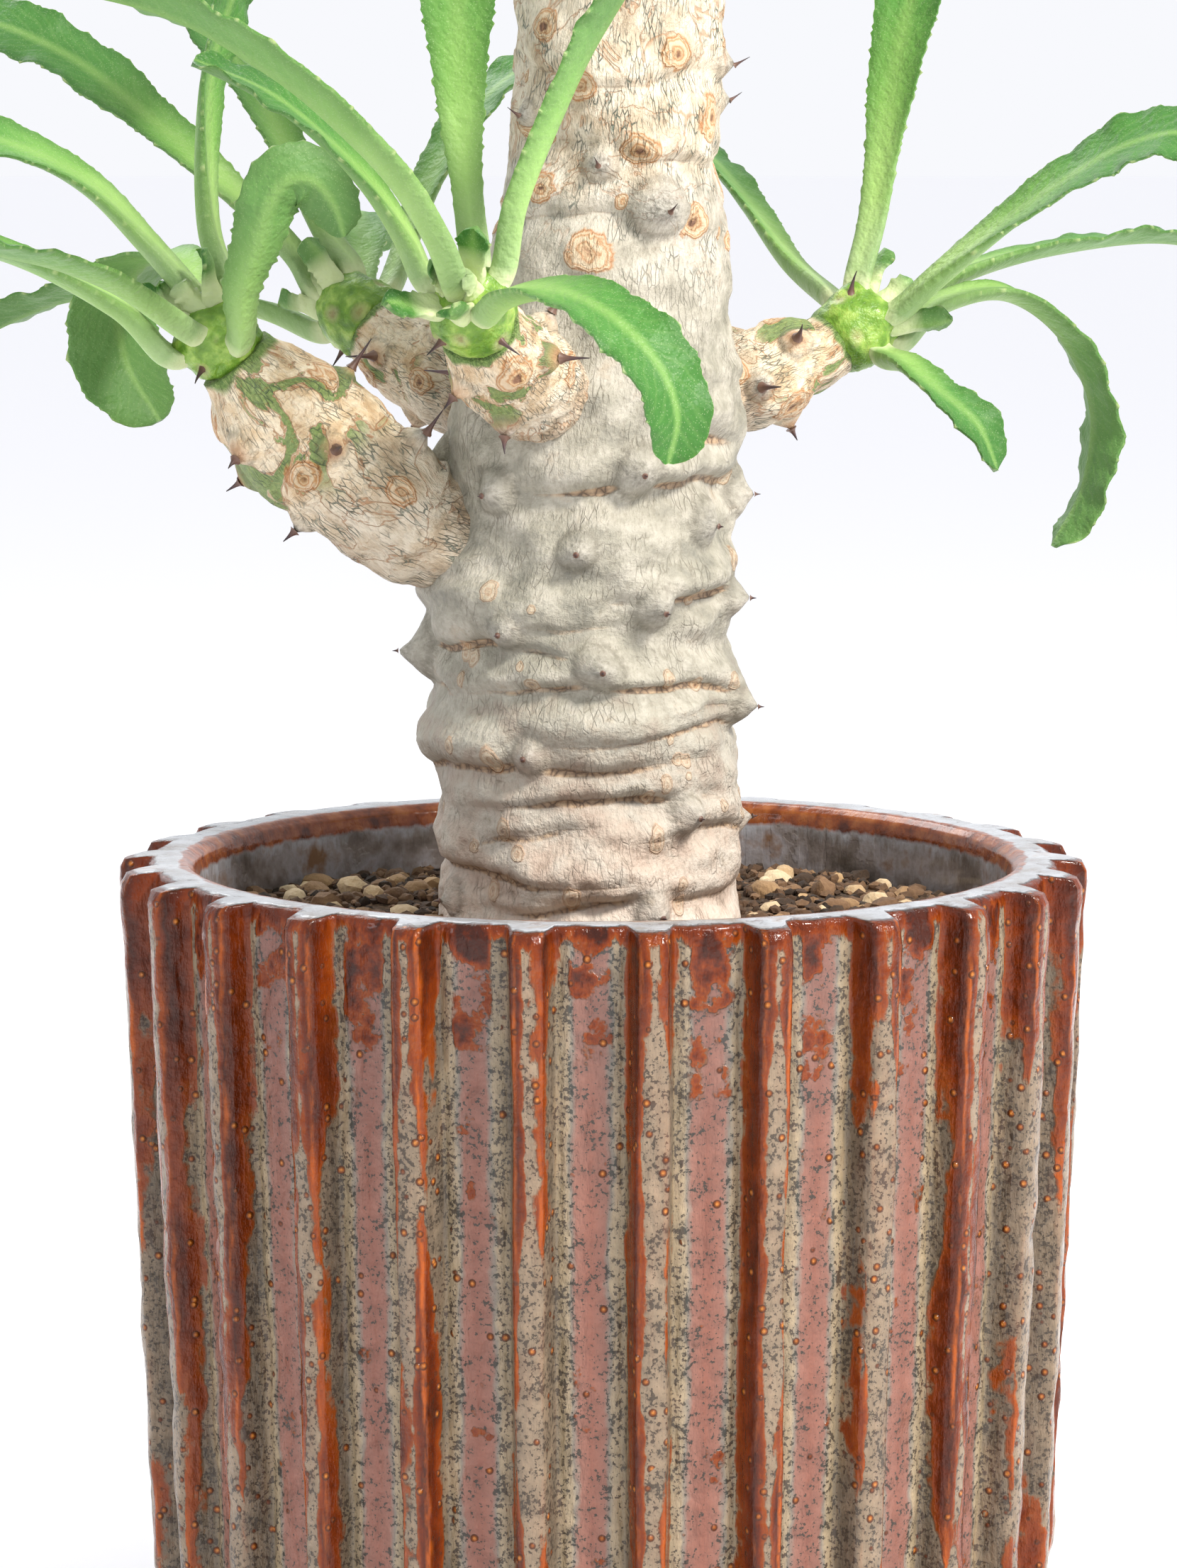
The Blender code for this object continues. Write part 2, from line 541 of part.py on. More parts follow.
def trunk_heights():
    """Rows up the trunk: one in each crease, one on each side of it and some between."""
    rows = [ROOT_END, TRUNK_ROOT_ROW]
    for crease, _, _ in CREASES:
        rows += [crease - CREASE_HALF_WIDTH, crease, crease + CREASE_HALF_WIDTH]
    rows.append(TRUNK_PROFILE[-1][0])
    rows.sort()
    creases = [crease[0] for crease in CREASES]
    kept = [rows[0]]
    for row in rows[1:]:
        spare = row - kept[-1]
        if spare < TRUNK_LEAST_SPACING and row not in creases:
            continue
        if kept[-1] > TRUNK_FREE[0]:
            parts = max(1, round(spare / TRUNK_ROW_SPACING))
            kept += [kept[-1] + spare * k / parts for k in range(1, parts)]
        kept.append(row)
    return kept


def make_trunk(material):
    """The trunk, from its root end in the soil to just under the top growing tip."""
    angles = [i * math.tau / TRUNK_SIDES for i in range(TRUNK_SIDES)]
    rings = []
    for height in trunk_heights():
        rings.append([trunk_surface(height, angle) for angle in angles])
    end = Vector(TRUNK_TIP) - Vector((0.0, 0.0, TIP_SETBACK * TOP_TIP_RADIUS + GAP))
    spokes = [Vector((math.sin(angle), -math.cos(angle), 0.0)) for angle in angles]
    rings.append([end + spoke * TRUNK_END_RADIUS for spoke in spokes])
    return loft(rings)


def branch_axis(name):
    """The growing tip's middle and the way that the branch points there."""
    points = [Vector(point) for point, _ in BRANCHES[name]]
    axis = (points[-1] - points[-2]).normalized()
    return points[-1], axis


def branch_rings(name):
    """Rings along a branch, a little uneven, ending flat under its growing tip."""
    tip, axis = branch_axis(name)
    end = tip - axis * (TIP_SETBACK * TIP_RADIUS + GAP)
    points = [Vector(point) for point, _ in BRANCHES[name][:-1]] + [end]
    steps = [i / (BRANCH_ROWS - 1) for i in range(BRANCH_ROWS)]
    path = smooth_path(points, steps)
    radii = [(k / (len(points) - 1), radius) for k, (_, radius) in enumerate(BRANCHES[name])]
    frames = frames_along(path, (0.0, 0.0, 1.0))
    frames[-1] = (axis, axis.cross(frames[-1][2]).normalized(), frames[-1][2])
    rings = []
    for row, (middle, (tangent, side, _)) in enumerate(zip(path, frames)):
        up = side.cross(tangent).normalized()
        radius = along(radii, steps[row])[0]
        ring = []
        for i in range(BRANCH_SIDES):
            angle = i * math.tau / BRANCH_SIDES
            uneven = 0.0
            if row < BRANCH_ROWS - 1:
                uneven = BRANCH_UNEVENNESS * math.sin(2 * angle + BRANCH_TWIST * row)
            spoke = side * math.cos(angle) + up * math.sin(angle)
            ring.append(middle + spoke * radius * (1.0 + uneven))
        rings.append(ring)
    return rings


def tubercle(name, foot, outward, radius, spine, material):
    """A low cone with a spine on it, its root sunk in what it grows from."""
    outward = outward.normalized()
    side = outward.orthogonal().normalized()
    up = outward.cross(side)
    height = TUBERCLE_RISE * radius
    shoulder_rise, shoulder_width = TUBERCLE_SHOULDER
    rings = []
    for rise, width in ((-TUBERCLE_SINK, TUBERCLE_ROOT_SPREAD * radius),
                        (shoulder_rise * radius, shoulder_width * radius),
                        (height, SPINE_ROOT_RADIUS), (height + spine, SPINE_TIP_RADIUS)):
        ring = []
        for i in range(TUBERCLE_SIDES):
            angle = i * math.tau / TUBERCLE_SIDES
            ring.append(foot + outward * rise + (side * math.cos(angle) + up * math.sin(angle)) * width)
        rings.append(ring)
    return add_object(name, loft(rings), material)


def trunk_tubercles(material):
    """The trunk's tubercles: those seen from the front, then a spiral round the rest."""
    places = [(height, math.radians(side), radius) for height, side, radius in TRUNK_TUBERCLES]
    draw = random.Random(5)
    for number in range(BACK_TUBERCLES):
        height = blend(*BACK_TUBERCLE_HEIGHTS, (number + 0.5) / BACK_TUBERCLES)
        side = blend(*BACK_TUBERCLE_SIDES, (number * GOLDEN_SHARE) % 1.0)
        radius = BACK_TUBERCLE_RADIUS * draw.uniform(*BACK_TUBERCLE_SPREAD)
        places.append((height, math.radians(side), radius))
    for number in range(UPPER_TUBERCLES):
        height = blend(*UPPER_TUBERCLE_HEIGHTS, number / (UPPER_TUBERCLES - 1))
        angle = number * GOLDEN_ANGLE + UPPER_TUBERCLE_TURN
        places.append((height, angle, UPPER_TUBERCLE_RADIUS))
    made = []
    for number, (height, angle, radius) in enumerate(places):
        foot = trunk_surface(height, angle)
        outward = Vector((math.sin(angle), -math.cos(angle), TUBERCLE_LIFT))
        made.append(tubercle(f"tubercle_{number}", foot, outward, radius, TRUNK_SPINE, material))
    return made


def branch_tubercles(name, rings, material):
    """Tubercles on a spiral along a branch."""
    made = []
    count = BRANCH_TUBERCLES[name]
    _, axis = branch_axis(name)
    for number in range(count):
        row = blend(*BRANCH_TUBERCLE_REACH, (number + 0.5) / count) * (BRANCH_ROWS - 1)
        ring = rings[int(row)]
        corner = int(number * GOLDEN_ANGLE / math.tau * BRANCH_SIDES) % BRANCH_SIDES
        foot = ring[corner]
        middle = sum(ring, Vector()) / len(ring)
        outward = (foot - middle).normalized() + TUBERCLE_LIFT * axis
        made.append(tubercle(f"{name}_tubercle_{number}", foot, outward, BRANCH_TUBERCLE_RADIUS,
                             BRANCH_SPINE, material))
    return made


def make_stem(material):
    """Trunk, branches, tubercles and spines, fused in one body as they grew."""
    stem = add_object("stem", make_trunk(material), material)
    pieces = trunk_tubercles(material)
    for name in BRANCHES:
        rings = branch_rings(name)
        pieces.append(add_object(f"{name}_branch", loft(rings), material))
        pieces += branch_tubercles(name, rings, material)
    fuse(stem, pieces)
    return stem


def make_growing_tip(name, middle, axis, radius, material):
    """A green knob with a flat underside, on the end of a branch."""
    bm = bmesh.new()
    bmesh.ops.create_uvsphere(bm, u_segments=TIP_SEGMENTS, v_segments=TIP_RINGS, radius=radius)
    everything = bm.verts[:] + bm.edges[:] + bm.faces[:]
    cut = bmesh.ops.bisect_plane(bm, geom=everything, plane_co=(0.0, 0.0, -TIP_SETBACK * radius),
                                 plane_no=(0.0, 0.0, 1.0), clear_inner=True)
    rim = [item for item in cut["geom_cut"] if isinstance(item, bmesh.types.BMEdge)]
    bmesh.ops.holes_fill(bm, edges=rim, sides=0)
    bmesh.ops.recalc_face_normals(bm, faces=bm.faces)
    turn = Vector((0.0, 0.0, 1.0)).rotation_difference(axis).to_matrix().to_4x4()
    bmesh.ops.transform(bm, matrix=Matrix.Translation(middle) @ turn, verts=bm.verts)
    return add_object("tip_" + name, bm, material)


def leaf_half_width(share, width, tooth):
    """Half the leaf's width at this share of its length."""
    half = blend(STALK_HALF_WIDTH, width / 2, ease(share, *WIDENING))
    if share > TIP_START:
        over = (share - TIP_START) / (1.0 - TIP_START)
        half = max(TIP_HALF_WIDTH, half * math.sqrt(max(0.0, 1.0 - over * over)))
    return half + tooth * TOOTH_DEPTH


def make_leaf(name, middle, tip_radius, points, width, face, material):
    """One leaf: a flat toothed slab, three points across, bent along its midrib."""
    outward = (Vector(points[0]) - middle).normalized()
    base = middle + outward * (tip_radius + GAP)
    shares = list(STALK_ROWS)
    for row in range(BLADE_ROWS):
        shares.append(blend(BLADE_START, 1.0, row / (BLADE_ROWS - 1)))
    path = smooth_path([base, base + outward * LEAF_LAUNCH, *points[1:]], shares)
    frames = frames_along(path, face)
    first_side = outward.cross(frames[0][2]).normalized()
    frames[0] = (outward, first_side, first_side.cross(outward))
    bm = bmesh.new()
    bmesh.ops.create_grid(bm, x_segments=2, y_segments=len(shares) - 1, size=1.0)
    bmesh.ops.triangulate(bm, faces=bm.faces, quad_method="FIXED")
    top = bm.faces[:]
    made = bmesh.ops.extrude_face_region(bm, geom=top, use_keep_orig=True)
    under = [item for item in made["geom"] if isinstance(item, bmesh.types.BMVert)]
    bmesh.ops.translate(bm, verts=under, vec=(0.0, 0.0, -1.0))
    bmesh.ops.recalc_face_normals(bm, faces=bm.faces)
    for vert in bm.verts:
        across, down = vert.co.x, vert.co.z
        row = round((vert.co.y + 1.0) / 2.0 * (len(shares) - 1))
        share = shares[row]
        thin = ease(share, *THINNING)
        rib = blend(STALK_THICKNESS, BLADE_THICKNESS, thin)
        edge = blend(STALK_EDGE, BLADE_EDGE, thin)
        blade_row = row - len(STALK_ROWS)
        toothed = 0 <= blade_row < BLADE_ROWS - 1
        tooth = (0.5 if blade_row % 2 else -0.5) if toothed else 0.0
        half = leaf_half_width(share, width, tooth)
        _, side, up = frames[row]
        wave = EDGE_WAVE * math.sin(EDGE_WAVE_RATE * share + EDGE_WAVE_SKEW * across)
        channel = BLADE_CHANNEL * min(1.0, half / BLADE_CHANNEL_HALF_WIDTH)
        lift = abs(across) * (channel + wave * ease(share, *WAVING))
        depth = blend(rib, edge, abs(across))
        vert.co = path[row] + side * (across * half) + up * (lift + down * depth + rib / 2)
    return add_object(name, bm, material, 60.0)


def heading(azimuth, rise):
    """The unit vector that points this way round from the front and this far up, in degrees."""
    flat = math.cos(math.radians(rise))
    up = math.sin(math.radians(rise))
    return Vector((flat * math.sin(azimuth), -flat * math.cos(azimuth), up))


def arched_path(start, azimuth, rise, length):
    """Points of a leaf that leaves its tip at the given rise and bends down as it goes."""
    step = length / TOP_LEAF_STEPS
    points = [start + step * heading(azimuth, rise)]
    place = start
    for number in range(TOP_LEAF_STEPS):
        bent = TOP_LEAF_BEND * ((number + 0.5) / TOP_LEAF_STEPS) ** TOP_LEAF_BEND_POWER
        place = place + step * heading(azimuth, rise - bent)
        points.append(place)
    return points


def make_top_leaves(material):
    """The top rosette, on the spiral that the plant grows by, steeper towards its middle."""
    middle = Vector(TRUNK_TIP)
    for number in range(TOP_LEAVES):
        share = number / (TOP_LEAVES - 1)
        azimuth = number * GOLDEN_ANGLE + TOP_LEAF_TURN
        rise = blend(*TOP_LEAF_RISE, share)
        length = blend(TOP_LEAF_LENGTH[1], TOP_LEAF_LENGTH[0], share)
        points = arched_path(middle, azimuth, rise, length)
        face = Vector((0.0, 0.0, 1.0)) - TOP_LEAF_LEAN * heading(azimuth, rise)
        make_leaf(f"leaf_top_{number + 1}", middle, TOP_TIP_RADIUS, points, TOP_LEAF_WIDTH, face,
                  material)


def main():
    clear_scene()
    glaze = principled("glazed_stoneware", (0.34, 0.12, 0.05), 0.18)
    earth = principled("potting_mix", (0.09, 0.06, 0.04), 0.95)
    bark = principled("bark", (0.50, 0.46, 0.36), 0.75)
    green = principled("growing_tip_skin", (0.12, 0.34, 0.08), 0.45)
    leaf = principled("leaf_flesh", (0.20, 0.42, 0.10), 0.42)
    make_pot(glaze)
    make_soil(earth)
    make_stem(bark)
    make_growing_tip("top", Vector(TRUNK_TIP), Vector((0.0, 0.0, 1.0)), TOP_TIP_RADIUS, green)
    for name, rows in LEAVES.items():
        middle, axis = branch_axis(name)
        make_growing_tip(name, middle, axis, TIP_RADIUS, green)
        for number, (width, face, points) in enumerate(rows, start=1):
            make_leaf(f"leaf_{name}_{number}", middle, TIP_RADIUS, points, width, Vector(face), leaf)
    make_top_leaves(leaf)


main()
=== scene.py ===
"""Looks for the potted euphorbia: bark, scars, spines, toothed leaves, gritty soil and glaze.

Metres, in the frame of the CAD model: +Z up, the front faces -Y, the right side is at +X. The
tables of branches and leaves and the sizes of the materials' patterns are in millimetres.
"""
import math
import random
from functools import partial

import bmesh
import bpy
import numpy as np
from mathutils import Matrix, Vector, noise


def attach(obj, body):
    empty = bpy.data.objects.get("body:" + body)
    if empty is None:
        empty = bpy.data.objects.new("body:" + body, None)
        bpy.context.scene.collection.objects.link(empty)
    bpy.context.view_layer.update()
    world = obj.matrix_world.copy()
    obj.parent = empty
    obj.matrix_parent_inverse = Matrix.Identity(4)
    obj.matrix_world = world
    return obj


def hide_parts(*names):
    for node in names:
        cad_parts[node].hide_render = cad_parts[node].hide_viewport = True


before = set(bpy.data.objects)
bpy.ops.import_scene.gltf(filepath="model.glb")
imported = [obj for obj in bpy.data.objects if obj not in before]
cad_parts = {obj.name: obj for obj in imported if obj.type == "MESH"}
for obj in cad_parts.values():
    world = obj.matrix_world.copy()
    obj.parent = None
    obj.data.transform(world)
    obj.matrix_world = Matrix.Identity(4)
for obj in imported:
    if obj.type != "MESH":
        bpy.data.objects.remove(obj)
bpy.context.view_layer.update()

GOLDEN_ANGLE = math.radians(137.508)
MM = 0.001
UP = np.array((0.0, 0.0, 1.0))

# Pot, as the CAD has it
POT_FLOOR = 0.009
RIB_COUNT = 26
RIB_DEPTH = 0.0047
RIB_FIRST_TURN = math.radians(5.4)
# Half widths of a rib: its flat face, and its root where the flank meets the groove
RIB_FACE = 0.0020
RIB_ROOT = 0.0037
RIB_COLUMNS = 24
# Columns of the mesh from a rib's middle to a groove's: shares of their number, and how far
# round the pot each of these lies
RIB_STEPS = (0.0, 2 / 12, 7 / 12, 9 / 12, 1.0)
RIB_ARCS = (0.0, 0.0019, 0.0039, 0.0052, 0.00905)
# The point of the outline below at which the rim starts to turn over
RIM_START = 12
# Heights between which the rim's top and its inner lip begin
RIM_RISE = (0.1242, 0.1299)
LIP_RISE = (0.1262, 0.1285)
# Base inside the wall, and the drain holes on a circle in it
BASE_RADIUS = 0.0405
DRAIN_RADIUS = 0.0040
DRAIN_CIRCLE_RADIUS = 0.026
DRAIN_COUNT = 4
DRAIN_FIRST_TURN = math.radians(45.0)
# Unevenness of the glaze's surface, and how far a rib's face bulges
GLAZE_LUMP = 0.00040
RIB_BULGE = 0.00030
# Outline of the pot wall, from under the foot up, over the rim and down inside:
# radius, height, share of the rib depth and number of rows to the next point
POT_OUTLINE = (
    (0.0400, 0.0000, 0.0, 4), (0.0505, 0.0000, 0.0, 3), (0.0521, 0.0006, 0.0, 2),
    (0.0546, 0.0022, 0.18, 3), (0.0607, 0.0062, 0.50, 3), (0.0662, 0.0112, 0.80, 3),
    (0.0695, 0.0160, 0.95, 4), (0.0709, 0.0215, 1.0, 34), (0.0731, 0.0780, 1.0, 26),
    (0.0748, 0.1222, 1.0, 5), (0.0750, 0.1267, 1.0, 4), (0.0749, 0.1289, 0.98, 3),
    (0.0742, 0.1302, 0.90, 3), (0.0722, 0.1307, 0.72, 4), (0.0695, 0.1307, 0.36, 4),
    (0.0668, 0.1307, 0.10, 3), (0.0643, 0.1305, 0.0, 3), (0.0630, 0.1295, 0.0, 3),
    (0.0626, 0.1277, 0.0, 6), (0.0622, 0.1187, 0.0, 8), (0.0583, 0.0200, 0.0, 4),
    (0.0455, 0.0092, 0.0, 3), (0.0400, 0.0090, 0.0, 4),
)

# Soil
SOIL_TOP = 0.1207
SOIL_RADIUS = 0.0621
SOIL_INNER_RADIUS = 0.0150
SOIL_UNDERSIDE = 0.109
SOIL_COLUMNS = 170
SOIL_ROWS = 90
# Crumbs and grains: how many, their sizes, their shades and how far they stand out of the soil
CRUMB_COUNT = 2300
CRUMB_SIZES = (0.0006, 0.0016)
CRUMB_SHADES = (0.0, 0.50)
CRUMB_RISE = 0.3
GRAIN_COUNT = 260
GRAIN_SIZES = (0.0011, 0.0029)
GRAIN_SHADES = (0.08, 0.88)
GRAIN_RISE = 0.15
# The ring of soil that they lie on, and its middle in X
GRAIN_REACH = (0.0235, 0.0605)
GRAIN_MIDDLE = -0.0012

# Trunk: height, middle in X and radius, and creases: height, depth and the deepest side in
# degrees to the right of the front, as the CAD has them
TRUNK_PROFILE = (
    (0.0800, -0.0020, 0.0230), (0.1215, -0.0020, 0.0234), (0.130, -0.0020, 0.0232),
    (0.141, -0.0027, 0.0230), (0.150, -0.0031, 0.0246), (0.158, -0.0029, 0.0240),
    (0.165, -0.0040, 0.0224), (0.172, -0.0040, 0.0238), (0.179, -0.0033, 0.0230),
    (0.187, -0.0024, 0.0216), (0.195, -0.0017, 0.0226), (0.203, -0.0012, 0.0223),
    (0.216, 0.0000, 0.0195), (0.227, 0.0010, 0.0173), (0.239, 0.0020, 0.0157),
    (0.262, 0.0022, 0.0152), (0.276, 0.0025, 0.0140), (0.288, 0.0028, 0.0112),
    (0.2916, 0.0030, 0.0078),
)
CREASES = (
    (0.1262, 0.0012, 40), (0.1312, 0.0016, -60), (0.1354, 0.0014, 70), (0.1401, 0.0018, 10),
    (0.1457, 0.0018, -30), (0.1508, 0.0014, 60), (0.1578, 0.0022, 20), (0.1631, 0.0020, -70),
    (0.1736, 0.0022, 60), (0.1890, 0.0026, 30), (0.2280, 0.0009, -20), (0.2390, 0.0011, 30),
    (0.2510, 0.0010, 0),
)
CREASE_WIDTH = 0.0013
# Short partial folds between the creases: how many, half the turn that each covers in radians,
# their heights and their depths
MINOR_FOLDS = 10
FOLD_REACH = (0.35, 0.85)
FOLD_HEIGHTS = (0.124, 0.204)
FOLD_DEPTH = (0.0008, 0.0018)
# Rings of skin go up and down round the trunk by this much, and the wave turns by so many
# radians for each metre of height
CREASE_WAVE = 0.0011
CREASE_WAVE_RATE = 95.0
TRUNK_START = 0.104
TRUNK_END = TRUNK_PROFILE[-1][0]
# Just above the soil the skin's unevenness fades in between these heights
SOIL_EDGE = (0.1200, 0.1250)
# The skin turns from old and silver to young and papery between these heights
YOUNG_SKIN = (0.198, 0.244)
# Radii of the plain tubes on which the trunk's lumps and the bark's patterns are worked out
TRUNK_NOISE_RADIUS = 0.022
TRUNK_PATTERN_RADIUS = 0.018
TRUNK_COLUMNS = 240
TRUNK_ROWS = 330
# Tubercles: height, side and radius of those that the photo shows, and rules for the others
TRUNK_TUBERCLES = (
    (0.2368, -8, 0.0024), (0.2299, 24, 0.0040), (0.1935, -86, 0.0024), (0.1886, -38, 0.0030),
    (0.1911, 19, 0.0030), (0.1802, -2, 0.0026), (0.1830, 55, 0.0028), (0.1613, -88, 0.0040),
    (0.1614, 7, 0.0032), (0.1665, -27, 0.0024), (0.1711, 30, 0.0028), (0.1378, 41, 0.0024),
    (0.1246, 25, 0.0026), (0.1260, -66, 0.0026), (0.1860, 88, 0.0030), (0.1720, 76, 0.0026),
    (0.1545, 80, 0.0026), (0.1475, -20, 0.0024),
)
BACK_TUBERCLES = 17
BACK_TUBERCLE_RADIUS = 0.0028
BACK_TUBERCLE_HEIGHTS = (0.130, 0.276)
BACK_TUBERCLE_SIDES = (110.0, 250.0)
UPPER_TUBERCLES = 6
UPPER_TUBERCLE_RADIUS = 0.0022
UPPER_TUBERCLE_HEIGHTS = (0.244, 0.280)
GOLDEN_SHARE = 0.618
# Leaf scars on the upper trunk, and smaller ones that crowd along the creases
TRUNK_SCARS = 34
TRUNK_SCAR_HEIGHTS = (0.222, 0.288)
TRUNK_SCAR_SIZES = (0.0026, 0.0038)
CREASE_SCARS = 80
CREASE_SCAR_SIZES = (0.0007, 0.0014)
# How much wider than in the CAD the smooth swellings under the spines are
KNOB_SPREAD = 1.15

# Branches, in millimetres: points along the middle and the radius at each, up to the growing tip
BRANCHES = {
    "left": (((-14, -3, 178), 8.5), ((-27, -6, 182), 9.2), ((-33, -8, 186), 10.4),
        ((-40, -9, 192), 10.8), ((-46, -10, 197), 11.6), ((-50.5, -11.5, 202), 10.2),
        ((-58, -14, 211), 6.2)),
    "back_left": (((-10, 6, 197), 7.2), ((-21, 14, 202), 8), ((-27, 19, 205), 8.6),
        ((-32, 22, 208), 8.2), ((-39, 26, 213), 6.2)),
    "front": (((-6, -10, 199), 7.6), ((-11.5, -24, 205), 8.2), ((-15, -35, 208.6), 8.5),
        ((-16.8, -42, 211.5), 7.7), ((-19, -50, 216), 6)),
    "right": (((8, 4, 199), 6.6), ((22, 10, 203), 7.4), ((29, 13, 206), 7.8),
        ((33, 14.5, 207), 7.2), ((39.5, 17, 211), 5.2)),
}
BRANCH_PATTERN_RADIUS = 0.010
BRANCH_COLUMNS = 100
BRANCH_ROWS = 104
BRANCH_SCARS = {"left": 8, "back_left": 5, "front": 5, "right": 5}
BRANCH_SCAR_REACH = (0.30, 0.92)
BRANCH_SCAR_SIZES = (0.0020, 0.0034)
BRANCH_KNOB = 0.0024
BRANCH_TUBERCLES = {"left": 9, "back_left": 5, "front": 6, "right": 5}
# The stretch of a branch with tubercles, and the rows and corners of the CAD branch they sit on
BRANCH_TUBERCLE_REACH = (0.42, 0.93)
CAD_BRANCH_ROWS = 11
CAD_BRANCH_SIDES = 12
# Spines: lengths and radii at the foot, and the height below which they are worn to stubs
TRUNK_SPINE = 0.0024
TRUNK_SPINE_RADIUS = 0.00026
WORN_SPINE_SHARE = 0.35
OLD_TRUNK_TOP = 0.205
BRANCH_SPINE = 0.0045
TIP_SPINE = 0.0030
SPINE_RADIUS = 0.00050
SPINE_SIDES = 8
SPINE_ROWS = 6
# Growing tips: middle of the top one, radii, how deep each sits in its branch as a share of its
# radius, and the scars on each
TRUNK_TIP = np.array((0.0030, 0.0, 0.2985))
TIP_RADIUS = 0.0064
TOP_TIP_RADIUS = 0.0092
TIP_SETBACK = 0.72
TIP_SCARS = 8
TIP_COLUMNS = 48
TIP_ROWS = 40

# Leaves, in millimetres: width, the way the upper face looks, and points along the midrib, of
# which the first gives only the way that the leaf sets out
LEAVES = {
    "left": (
        (12.5, (0.2, -0.3, 1), ((-63, -16, 209), (-71.9, -22, 215.8), (-88.1, -30, 223.8),
            (-108, -36.5, 227), (-128, -40, 219))),
        (12.5, (0.3, 0.2, 1), ((-61.3, -21, 212.2), (-70.4, -38, 219.5), (-81.5, -54, 224),
            (-95, -66, 226), (-108, -74, 218))),
        (13, (0.6, -0.4, 0.8), ((-60, -14, 214.6), (-68.2, -12, 224.9), (-77.4, -12, 233.6),
            (-89.8, -14, 239.6), (-107.1, -18, 243.7), (-123.5, -22, 239))),
        (12.5, (1, -0.3, 0.1), ((-56.2, -14, 217), (-59, -10, 227.2), (-60, -6, 241.8),
            (-58.5, -2, 255), (-53, 6, 269), (-43, 16, 279))),
        (9.4, (0.7, -0.9, 0.1), ((-53.4, -21, 210.5), (-53.1, -27.5, 218), (-50.6, -31.8, 224.6),
            (-48.7, -34, 230.4), (-46, -34.8, 234.4), (-42.2, -33.8, 234.4), (-39.2, -32.5, 230.6),
            (-37.8, -31.8, 226.2))),
        (17, (0.2, -0.6, 1), ((-60.5, -6, 213.2), (-64.9, 8, 221.2), (-71.8, 18, 221.2),
            (-76.5, 24, 214), (-75.5, 25, 205), (-70, 23, 196))),
    ),
    "back_left": (
        (13.5, (0.4, -0.6, 0.8), ((-42.5, 27, 215), (-49, 30, 222.4), (-58.6, 32, 231.8),
            (-71.7, 34, 243), (-85, 36, 253), (-101, 38, 259), (-115, 38.5, 256))),
        (13, (0.7, -0.7, 0.4), ((-39.5, 27.5, 217), (-44.2, 31, 225.9), (-50.7, 38, 238.6),
            (-57.3, 45, 249.8), (-67, 53, 262), (-80, 61, 268))),
        (12, (0, 0.2, 1), ((-43, 29, 211), (-54.3, 37, 213.5), (-71, 47, 215.6), (-89.2, 55, 214.3),
            (-107, 60, 206))),
        (13, (-0.6, -0.4, 0.6), ((-35, 29, 216), (-31.2, 35, 223.5), (-26.9, 42, 234.2),
            (-20, 49, 245), (-11, 56, 252), (0, 61, 252))),
        (13, (0.1, -0.7, 0.8), ((-38.5, 33, 214), (-39, 48, 221), (-40, 65, 227), (-41, 83, 227),
            (-41, 98, 220))),
    ),
    "front": (
        (14, (0.4, -0.2, 1), ((-21, -56, 220), (-23.4, -62, 226.8), (-28.6, -67.5, 235),
            (-36.2, -72, 242.5), (-45, -76, 249.5), (-59, -80, 257.5), (-76, -84, 261),
            (-90, -87, 259))),
        (11, (0.5, -0.3, 0.8), ((-23.2, -51, 219), (-28, -52, 226.2), (-32.8, -53, 233.2),
            (-39.8, -54, 240.5), (-47.6, -55, 246.5), (-57.6, -55, 251))),
        (14, (0, -1, 0.2), ((-18.5, -47, 221), (-19.2, -45, 230), (-20.3, -43, 242),
            (-20.8, -43, 256), (-20.8, -45, 272), (-20, -53, 288), (-19, -64, 297))),
        (12.5, (-1, 0.2, 0.5), ((-16, -51, 220), (-12.5, -54.5, 231.5), (-6.8, -55, 244),
            (-0.5, -56.5, 256), (8, -62, 268), (19, -69, 275))),
        (12, (-0.2, -0.2, 1), ((-17, -56, 216), (-13.3, -69.7, 218.8), (-6.7, -83.4, 219.6),
            (0.6, -92.4, 216.6), (6.6, -96.8, 210.6), (9.3, -97.8, 204), (8.2, -96.9, 197.5))),
    ),
    "right": (
        (12.5, (-0.5, -0.9, 0.2), ((39.8, 17.5, 216.5), (42.4, 20, 228.4), (45.2, 24, 245.3),
            (48.7, 28, 262.2), (56, 35, 279), (67, 43, 289))),
        (14.5, (-0.3, -0.6, 0.9), ((44, 14.5, 213), (51, 10, 218.8), (60.2, 6, 226.2),
            (69.7, 2, 233.2), (79.5, -2, 239), (89, -6, 240.5), (96.5, -8, 234))),
        (12.5, (-0.1, 0.1, 1), ((43.2, 21.5, 212.5), (57, 35, 219), (74.1, 47, 222.8),
            (94, 57, 224.1), (113, 63, 218))),
        (11, (-0.2, -0.2, 1), ((45.5, 19, 209), (53, 25, 214.5), (64.3, 33, 216), (74.4, 40, 208.7),
            (79.9, 44, 196.6), (78.6, 45, 184.1), (73.4, 44, 174.5))),
        (8.5, (0.1, -0.3, 1), ((43, 12.5, 207.5), (46.5, 6, 206), (51, 1, 202), (56.7, -2, 196.9),
            (60, -2.5, 190))),
        (12.5, (0.6, -0.3, 0.8), ((36.5, 21.5, 215), (29.9, 33, 221), (24, 45, 229),
            (17.5, 58, 237), (9, 72, 243), (-1, 84, 243))),
    ),
}
# Leaves of the top rosette, which follow one spiral rule
TOP_LEAVES = 10
TOP_LEAF_WIDTH = 0.0135
